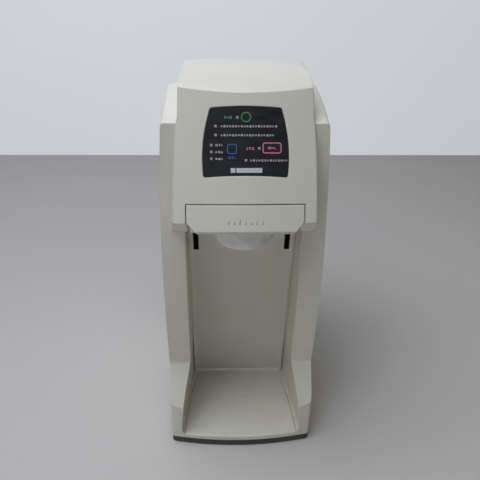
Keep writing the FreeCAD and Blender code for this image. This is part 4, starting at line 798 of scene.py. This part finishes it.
# The crease where an arm's slope meets its column: its place, how far each of the two leans, the
# hollow round between them, and the arm's inner edge, which spreads below the flare's level.
CREASE_Y = -119.98
CREASE_Z = 145.0
ARM_LEAN = math.radians(32.3)
COLUMN_LEAN = math.radians(11.8)
CREASE_ROUND = 14.0
CREASE_STEPS = 14
CREASE_PROUD = 0.04
CREASE_SUNK = 0.2
CREASE_BACK = 0.8
CREASE_INNER = 84.35
CREASE_MARGIN = 0.5
ARM_FLARE_Z = 150.0
ARM_FLARE = 0.175


def crease_outline():
    """The hollow round seen from the side, with its ends and back sunk in the arm."""
    bend = ARM_LEAN + COLUMN_LEAN
    tilt = (ARM_LEAN - COLUMN_LEAN) / 2
    reach = CREASE_ROUND / math.cos(bend / 2)
    centre = Vector((CREASE_Y - reach * math.cos(tilt), CREASE_Z + reach * math.sin(tilt)))
    outline = []
    for step in range(CREASE_STEPS + 1):
        turn = bend * (step / CREASE_STEPS - 0.5) - tilt
        depth = CREASE_ROUND + (CREASE_SUNK if step in (0, CREASE_STEPS) else -CREASE_PROUD)
        outline.append((centre.x + depth * math.cos(turn), centre.y + depth * math.sin(turn)))
    return outline + [(CREASE_Y + CREASE_BACK, CREASE_Z)]


class DISPENSER_OT_arm_creases(bpy.types.Operator):
    """Blend each arm's slope into its column with a hollow round"""

    bl_idname = "dispenser.arm_creases"
    bl_label = "Arm creases"

    def execute(self, context):
        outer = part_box("right_side_cover")[1].x - CREASE_MARGIN * MM
        outline = crease_outline()
        inner = [CREASE_INNER + max(0.0, ARM_FLARE_Z - z) * ARM_FLARE for _, z in outline]
        bm = bmesh.new()
        for side in (-1, 1):
            face = bm.faces.new([bm.verts.new((side * x * MM, y * MM, z * MM))
                                 for x, (y, z) in zip(inner, outline)])
            for vertex in draw_out(bm, [face]):
                vertex.co.x = side * outer
        place_piece(bm, "arm_crease_rounds", "housing", "side")
        return {"FINISHED"}


# The foot's outline: the screw well as radius and height, then the edge as inwards and height.
FOOT_RADIUS = 11.0
FOOT_WELL = ((0.0, 4.0), (3.2, 4.0), (3.6, 3.6), (3.6, 0.5), (4.2, 0.0))
FOOT_EDGE = ((1.8, 0.0), (0.5, 0.5), (0.0, 1.8))
FOOT_TAPER = 0.6


class DISPENSER_OT_feet(bpy.types.Operator):
    """Turn the four rubber feet with a rounded edge and a screw well"""

    bl_idname = "dispenser.feet"
    bl_label = "Rubber feet"

    def execute(self, context):
        low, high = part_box("rubber_feet")
        radius = FOOT_RADIUS * MM
        well = [(across * MM, height * MM) for across, height in FOOT_WELL]
        profile = well + in_metres(FOOT_EDGE, radius) + [(radius - FOOT_TAPER * MM, high.z), (0.0, high.z)]
        bm = bmesh.new()
        for x in (low.x + radius, high.x - radius):
            for y in (low.y + radius, high.y - radius):
                add_turned(bm, profile, x, y)
        place_piece(bm, "feet_turned", "housing", "rubber", ["rubber_feet"])
        return {"FINISHED"}


# A cover screw's head and shank, and its cross recess.
SCREW_RADIUS = 4.0
SCREW_MIDDLE_LEVEL = 290.0
SCREW_SHANK = ((0.0, -9.0), (2.0, -8.0), (2.0, 0.0))
SCREW_RIM = 0.7
SCREW_SHOULDER = 1.35
SCREW_SHOULDER_SHARE = 0.8
SCREW_HEIGHT = 1.6
SCREW_STEPS = 32
RECESS_HALF_LONG = 2.2
RECESS_HALF_WIDE = 0.55
RECESS_DEEP = 0.6
RECESS_PROUD = 0.05


class DISPENSER_OT_screws(bpy.types.Operator):
    """Put cross-recessed screws in the rear cover"""

    bl_idname = "dispenser.screws"
    bl_label = "Rear cover screws"

    def execute(self, context):
        low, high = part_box("cover_screws")
        radius = SCREW_RADIUS * MM
        profile = [(across * MM, height * MM) for across, height in SCREW_SHANK]
        profile += [(radius, 0.0), (radius, SCREW_RIM * MM),
                    (radius * SCREW_SHOULDER_SHARE, SCREW_SHOULDER * MM), (0.0, SCREW_HEIGHT * MM)]
        places = [(x, level) for x in (low.x + radius, high.x - radius)
                  for level in (low.z + radius, SCREW_MIDDLE_LEVEL * MM, high.z - radius)]
        bm = bmesh.new()
        for x, level in places:
            made = add_turned(bm, profile, 0.0, 0.0, SCREW_STEPS)
            turn = (Matrix.Translation((x, high.y - SCREW_HEIGHT * MM, level))
                    @ Matrix.Rotation(-math.pi / 2, 4, "X"))
            bmesh.ops.transform(bm, matrix=turn, verts=made)
        place_piece(bm, "cover_screws_turned", "housing", "steel", ["cover_screws"])
        bm = bmesh.new()
        for x, level in places:
            for wide, tall in ((RECESS_HALF_LONG, RECESS_HALF_WIDE), (RECESS_HALF_WIDE, RECESS_HALF_LONG)):
                add_block(bm, (x - wide * MM, high.y - RECESS_DEEP * MM, level - tall * MM),
                          (x + wide * MM, high.y + RECESS_PROUD * MM, level + tall * MM))
        place_piece(bm, "cover_screw_recesses", "housing", "dark")
        return {"FINISHED"}


# The press screw's thread: its depth, where it starts and ends, and its tooth as shares.
THREAD_DEPTH = 1.1
THREAD_FROM_FOOT = 8.0
THREAD_PAST_BRACKET = 20.0
ROD_CHAMFER = 0.6
TOOTH_SUNK = 0.2
TOOTH_HALF = 0.32
TOOTH_TIP = 0.45
STEPS_PER_TURN = 28


class DISPENSER_OT_lead_screw(bpy.types.Operator):
    """Wind the thread of the press screw"""

    bl_idname = "dispenser.lead_screw"
    bl_label = "Press screw"

    def execute(self, context):
        low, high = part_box("lead_screw")
        x, y = (low.x + high.x) / 2, (low.y + high.y) / 2
        radius = (high.x - low.x) / 2
        root = radius - THREAD_DEPTH * MM
        chamfer = ROD_CHAMFER * MM
        group = settings("mechanism")
        bm = bmesh.new()
        add_turned(bm, [(0.0, low.z), (root - chamfer, low.z), (root, low.z + chamfer),
                        (root, high.z - chamfer), (root - chamfer, high.z), (0.0, high.z)], x, y)
        start_level = low.z + THREAD_FROM_FOOT * MM
        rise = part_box("upper_bracket")[0].z + THREAD_PAST_BRACKET * MM - start_level
        turns = rise / group.thread_lead
        steps = int(turns * STEPS_PER_TURN)
        half = group.thread_lead / group.thread_starts * TOOTH_HALF
        foot = root - TOOTH_SUNK * MM
        tooth = [(foot, -half), (radius, -half * TOOTH_TIP), (radius, half * TOOTH_TIP), (foot, half)]
        for start in range(group.thread_starts):
            points = [bm.verts.new((across, 0.0, start_level + above)) for across, above in tooth]
            edges = [bm.edges.new(pair) for pair in zip(points, points[1:] + points[:1])]
            turned = Matrix.Rotation(math.tau * start / group.thread_starts, 4, "Z")
            bmesh.ops.transform(bm, matrix=turned, verts=points)
            bm.faces.new(points)
            made = bmesh.ops.spin(bm, geom=points + edges, cent=(0, 0, 0), axis=(0, 0, 1),
                                  angle=math.tau * turns, steps=steps, dvec=(0.0, 0.0, rise / steps))
            bm.faces.new(vertices_in(made["geom_last"]))
            bmesh.ops.translate(bm, vec=(x, y, 0.0), verts=joined_to(points))
        place_piece(bm, "lead_screw_threaded", "screw", "steel", ["lead_screw"])
        return {"FINISHED"}


# The motor can's end boss, its cap as inwards from the can and above its foot, and its terminals.
BOSS_RADIUS = 5.0
BOSS_ABOVE = 1.0
MOTOR_CAP = ((2.4, 3.0), (0.8, 4.2), (0.8, 12.0), (0.0, 12.4))
MOTOR_ROUND = 1.2
MOTOR_STEPS = 64
TERMINAL_SIDE = 9.0
TERMINAL_HALF = (1.5, 0.4)
TERMINAL_HEIGHT = 3.6
TERMINAL_EDGE = 0.15


class DISPENSER_OT_motor(bpy.types.Operator):
    """Model the motor can with its end cap and terminals"""

    bl_idname = "dispenser.motor"
    bl_label = "Press motor"

    def execute(self, context):
        low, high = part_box("press_motor")
        x, y = (low.x + high.x) / 2, (low.y + high.y) / 2
        radius = (high.x - low.x) / 2
        boss = low.z + BOSS_ABOVE * MM
        profile = [(0.0, boss), (BOSS_RADIUS * MM, boss), (BOSS_RADIUS * MM, low.z + MOTOR_CAP[0][1] * MM)]
        profile += in_metres(MOTOR_CAP, radius, low.z)
        profile += [(radius, high.z - MOTOR_ROUND * MM), (radius - MOTOR_ROUND * MM, high.z), (0.0, high.z)]
        bm = bmesh.new()
        add_turned(bm, profile, x, y, MOTOR_STEPS)
        place_piece(bm, "press_motor_can", "housing", "enamel", ["press_motor"])
        bm = bmesh.new()
        wide, thick = (size * MM for size in TERMINAL_HALF)
        for side in (-1, 1):
            middle = x + side * TERMINAL_SIDE * MM
            add_block(bm, (middle - wide, y - thick, low.z),
                      (middle + wide, y + thick, low.z + TERMINAL_HEIGHT * MM),
                      bevel=TERMINAL_EDGE * MM, segments=1)
        place_piece(bm, "motor_terminals", "housing", "bronze")
        return {"FINISHED"}


# Depth of the board's back behind the face, and side, up, width, height and depth of each chip on it.
BOARD_BACK = 10.6
BOARD_CHIPS = ((-20.0, 96.0, 16.0, 9.0, 2.4), (8.0, 92.0, 10.0, 7.0, 2.0), (30.0, 84.0, 7.0, 5.0, 1.8),
               (-36.0, 112.0, 8.0, 5.0, 1.8), (24.0, 122.0, 12.0, 8.0, 2.4), (-8.0, 132.0, 9.0, 6.0, 2.0))
CHIP_EDGE = 0.3


class DISPENSER_OT_board_parts(bpy.types.Operator):
    """Fit the chips on the back of the control board"""

    bl_idname = "dispenser.board_parts"
    bl_label = "Board parts"

    def execute(self, context):
        bm = bmesh.new()
        for side, up, wide, tall, deep in BOARD_CHIPS:
            add_block(bm, (side - wide / 2, up - tall / 2, -BOARD_BACK - deep),
                      (side + wide / 2, up + tall / 2, -BOARD_BACK), bevel=CHIP_EDGE, segments=2)
        for vertex in bm.verts:
            side, up, out = vertex.co * MM
            vertex.co = FACE_FOOT + FACE_UP * up + FACE_OUT * out + Vector((side, 0.0, 0.0))
        place_piece(bm, "board_chips", "housing", "dark")
        return {"FINISHED"}


# The power supply's case and the rows of vents in its top.
CASE_SUNK = 0.4
CASE_EDGE = 1.2
VENT_ROWS = 3
VENT_COLUMNS = 12
VENT_FROM_END = 12.0
VENT_PITCH = 14.0
VENT_HALF = (1.4, 4.5)
VENT_DEEP = 0.6
VENT_EDGE = 0.3


class DISPENSER_OT_power_supply(bpy.types.Operator):
    """Model the power supply as a vented case"""

    bl_idname = "dispenser.power_supply"
    bl_label = "Power supply"

    def execute(self, context):
        low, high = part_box("power_supply")
        wide, long = (size * MM for size in VENT_HALF)
        bm = bmesh.new()
        add_block(bm, low, (high.x, high.y, high.z - CASE_SUNK * MM), bevel=CASE_EDGE * MM, segments=3)
        for row in range(VENT_ROWS):
            for column in range(VENT_COLUMNS):
                x = low.x + (column + 1) * (high.x - low.x) / (VENT_COLUMNS + 1)
                y = low.y + (VENT_FROM_END + row * VENT_PITCH) * MM
                add_block(bm, (x - wide, y - long, high.z - VENT_DEEP * MM),
                          (x + wide, y + long, high.z), bevel=VENT_EDGE * MM, segments=1)
        place_piece(bm, "power_supply_case", "housing", "machined", ["power_supply"])
        return {"FINISHED"}


class DISPENSER_OT_finishes(bpy.types.Operator):
    """Give every solid that is kept as it is its finish"""

    bl_idname = "dispenser.finishes"
    bl_label = "Finishes of the solids"

    def execute(self, context):
        for look, nodes in CARRIED.items():
            for node in nodes:
                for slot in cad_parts[node].material_slots:
                    slot.material = finish(look)
        return {"FINISHED"}


# Floor, backdrop, lamps and camera

# Camera place in front of the base's front edge, its focal length and the film's width,
# worked out from the photograph's 480 pixels.
CAMERA_SIDE = -34.9 * MM
CAMERA_AHEAD = 674.3 * MM
CAMERA_LEVEL = 770.4 * MM
FOCAL_PIXELS = 555.3
FRAME_PIXELS = 480.0
FILM_WIDTH = 36.0

# The floor and the backdrop in metres, with the patches of their tone, and two fixed colours.
STAGE_SIZE = 6.0
FLOOR_CENTRE = (0.0, 1.0, 0.0)
FLOOR_PATCH = 0.4
BACKDROP_CENTRE = (0.0, 1.3, 1.5)
BACKDROP_PATCH = 0.8
BACKDROP_UNLIT = (0.02, 0.02, 0.02)
WORLD_COLOUR = (1.0, 0.97, 0.85, 1.0)

# Place of each lamp, the point it faces, its size and its colour, in metres.
LAMPS = {
    "ceiling": ((-0.55, -0.40, 2.25), (0.0, -0.1, 0.4), 1.7, (0.875, 0.90, 1.0)),
    "window": ((-1.5, -1.7, 0.9), (0.0, -0.1, 0.3), 1.2, (1.0, 0.985, 0.93)),
    "front": ((0.0, -3.0, 0.3), (0.0, -0.1, 0.2), 0.5, (1.0, 1.0, 1.0)),
}
GLINT_LAMP = "front"


def stage_plane(name, centre, turn, colour, patch, glow=False):
    """A wide stage surface with a soft, uneven tone, which the camera may see as if it glowed."""
    bm = bmesh.new()
    bmesh.ops.create_grid(bm, x_segments=2, y_segments=2, size=STAGE_SIZE / 2)
    bmesh.ops.transform(bm, matrix=Matrix.Translation(centre) @ turn, verts=bm.verts)
    mesh = bpy.data.meshes.new(name)
    bm.to_mesh(mesh)
    bm.free()
    shader = Shader(name + "_paint")
    tone = shader.noise(patch, detail=2.0)
    paint = shader.mix(tone, shade(colour, 0.97), shade(colour, 1.03))
    shader.put(Base_Color=paint, Roughness=0.6)
    if glow:
        seen = shader.node("ShaderNodeLightPath", {}, {}, "Is Camera Ray")
        for ray in ("Is Glossy Ray", "Is Transmission Ray"):
            seen = seen.most(shader.node("ShaderNodeLightPath", {}, {}, ray))
        shader.put(Base_Color=BACKDROP_UNLIT, Emission_Color=paint, Emission_Strength=seen)
    mesh.materials.append(shader.material)
    plane = bpy.data.objects.new(name, mesh)
    bpy.context.scene.collection.objects.link(plane)


def area_light(name, power, place, target, size, colour):
    """A square lamp that faces a point."""
    lamp = bpy.data.lights.new(name, "AREA")
    lamp.shape = "SQUARE"
    lamp.size = size
    lamp.energy = power
    lamp.color = colour
    lamp_object = bpy.data.objects.new(name, lamp)
    bpy.context.scene.collection.objects.link(lamp_object)
    way = Vector(target) - Vector(place)
    turn = way.to_track_quat("-Z", "Y").to_matrix().to_4x4()
    lamp_object.matrix_world = Matrix.Translation(place) @ turn
    return lamp_object


class DISPENSER_OT_stage(bpy.types.Operator):
    """Set up the floor, the backdrop, the lamps and the camera"""

    bl_idname = "dispenser.stage"
    bl_label = "Stage"

    def execute(self, context):
        group = settings("stage")
        scene = context.scene
        stage_plane("stage_floor", FLOOR_CENTRE, Matrix.Identity(4), tuple(group.floor), FLOOR_PATCH)
        stage_plane("stage_backdrop", BACKDROP_CENTRE, Matrix.Rotation(math.pi / 2, 4, "X"),
                    tuple(group.backdrop), BACKDROP_PATCH, glow=True)
        lamps = {name: area_light(name + "_light", getattr(group, name), *lamp)
                 for name, lamp in LAMPS.items()}
        lamps[GLINT_LAMP].visible_diffuse = False
        world = bpy.data.worlds.new("stage_world")
        world.use_nodes = True
        background = world.node_tree.nodes["Background"]
        background.inputs["Color"].default_value = WORLD_COLOUR
        background.inputs["Strength"].default_value = group.ambient
        scene.world = world
        camera = bpy.data.cameras.new("photo_camera")
        camera.sensor_width = FILM_WIDTH
        camera.lens = FILM_WIDTH * FOCAL_PIXELS / FRAME_PIXELS
        camera_object = bpy.data.objects.new("photo_camera", camera)
        scene.collection.objects.link(camera_object)
        place = Matrix.Translation((CAMERA_SIDE, BODY_FRONT - CAMERA_AHEAD, CAMERA_LEVEL))
        aim = (Matrix.Rotation(-group.yaw, 4, "Z") @ Matrix.Rotation(math.pi / 2 - group.pitch, 4, "X")
               @ Matrix.Rotation(-group.roll, 4, "Z"))
        camera_object.matrix_world = place @ aim
        scene.camera = camera_object
        scene.view_settings.view_transform = "Standard"
        return {"FINISHED"}


class DISPENSER_PT_panel(bpy.types.Panel):
    """Lists the dispenser's settings and steps"""

    bl_label = "Portion dispenser"
    bl_idname = "DISPENSER_PT_panel"
    bl_space_type = "VIEW_3D"
    bl_region_type = "UI"
    bl_category = "Dispenser"

    def draw(self, context):
        for group_name, group in GROUPS.items():
            box = self.layout.box()
            box.label(text=group.__doc__)
            for field in group.__annotations__:
                box.prop(settings(group_name), field)
        for step in STEPS:
            self.layout.operator(step.bl_idname)


GROUPS = {
    "housing": HousingSettings,
    "panel": PanelSettings,
    "mechanism": MechanismSettings,
    "stage": StageSettings,
}
STEPS = (
    DISPENSER_OT_finishes,
    DISPENSER_OT_marks,
    DISPENSER_OT_rings,
    DISPENSER_OT_grip,
    DISPENSER_OT_arm_creases,
    DISPENSER_OT_feet,
    DISPENSER_OT_screws,
    DISPENSER_OT_lead_screw,
    DISPENSER_OT_motor,
    DISPENSER_OT_board_parts,
    DISPENSER_OT_power_supply,
    DISPENSER_OT_stage,
)


def register():
    for name, group in GROUPS.items():
        bpy.utils.register_class(group)
        setattr(bpy.types.Scene, "dispenser_" + name, PointerProperty(type=group))
    for item in (*STEPS, DISPENSER_PT_panel):
        bpy.utils.register_class(item)


def unregister():
    for item in (*STEPS, DISPENSER_PT_panel):
        bpy.utils.unregister_class(item)
    for name, group in GROUPS.items():
        delattr(bpy.types.Scene, "dispenser_" + name)
        bpy.utils.unregister_class(group)


def main():
    """Runs every step."""
    register()
    for step in STEPS:
        family, name = step.bl_idname.split(".")
        getattr(getattr(bpy.ops, family), name)()


if __name__ == "__main__":
    main()
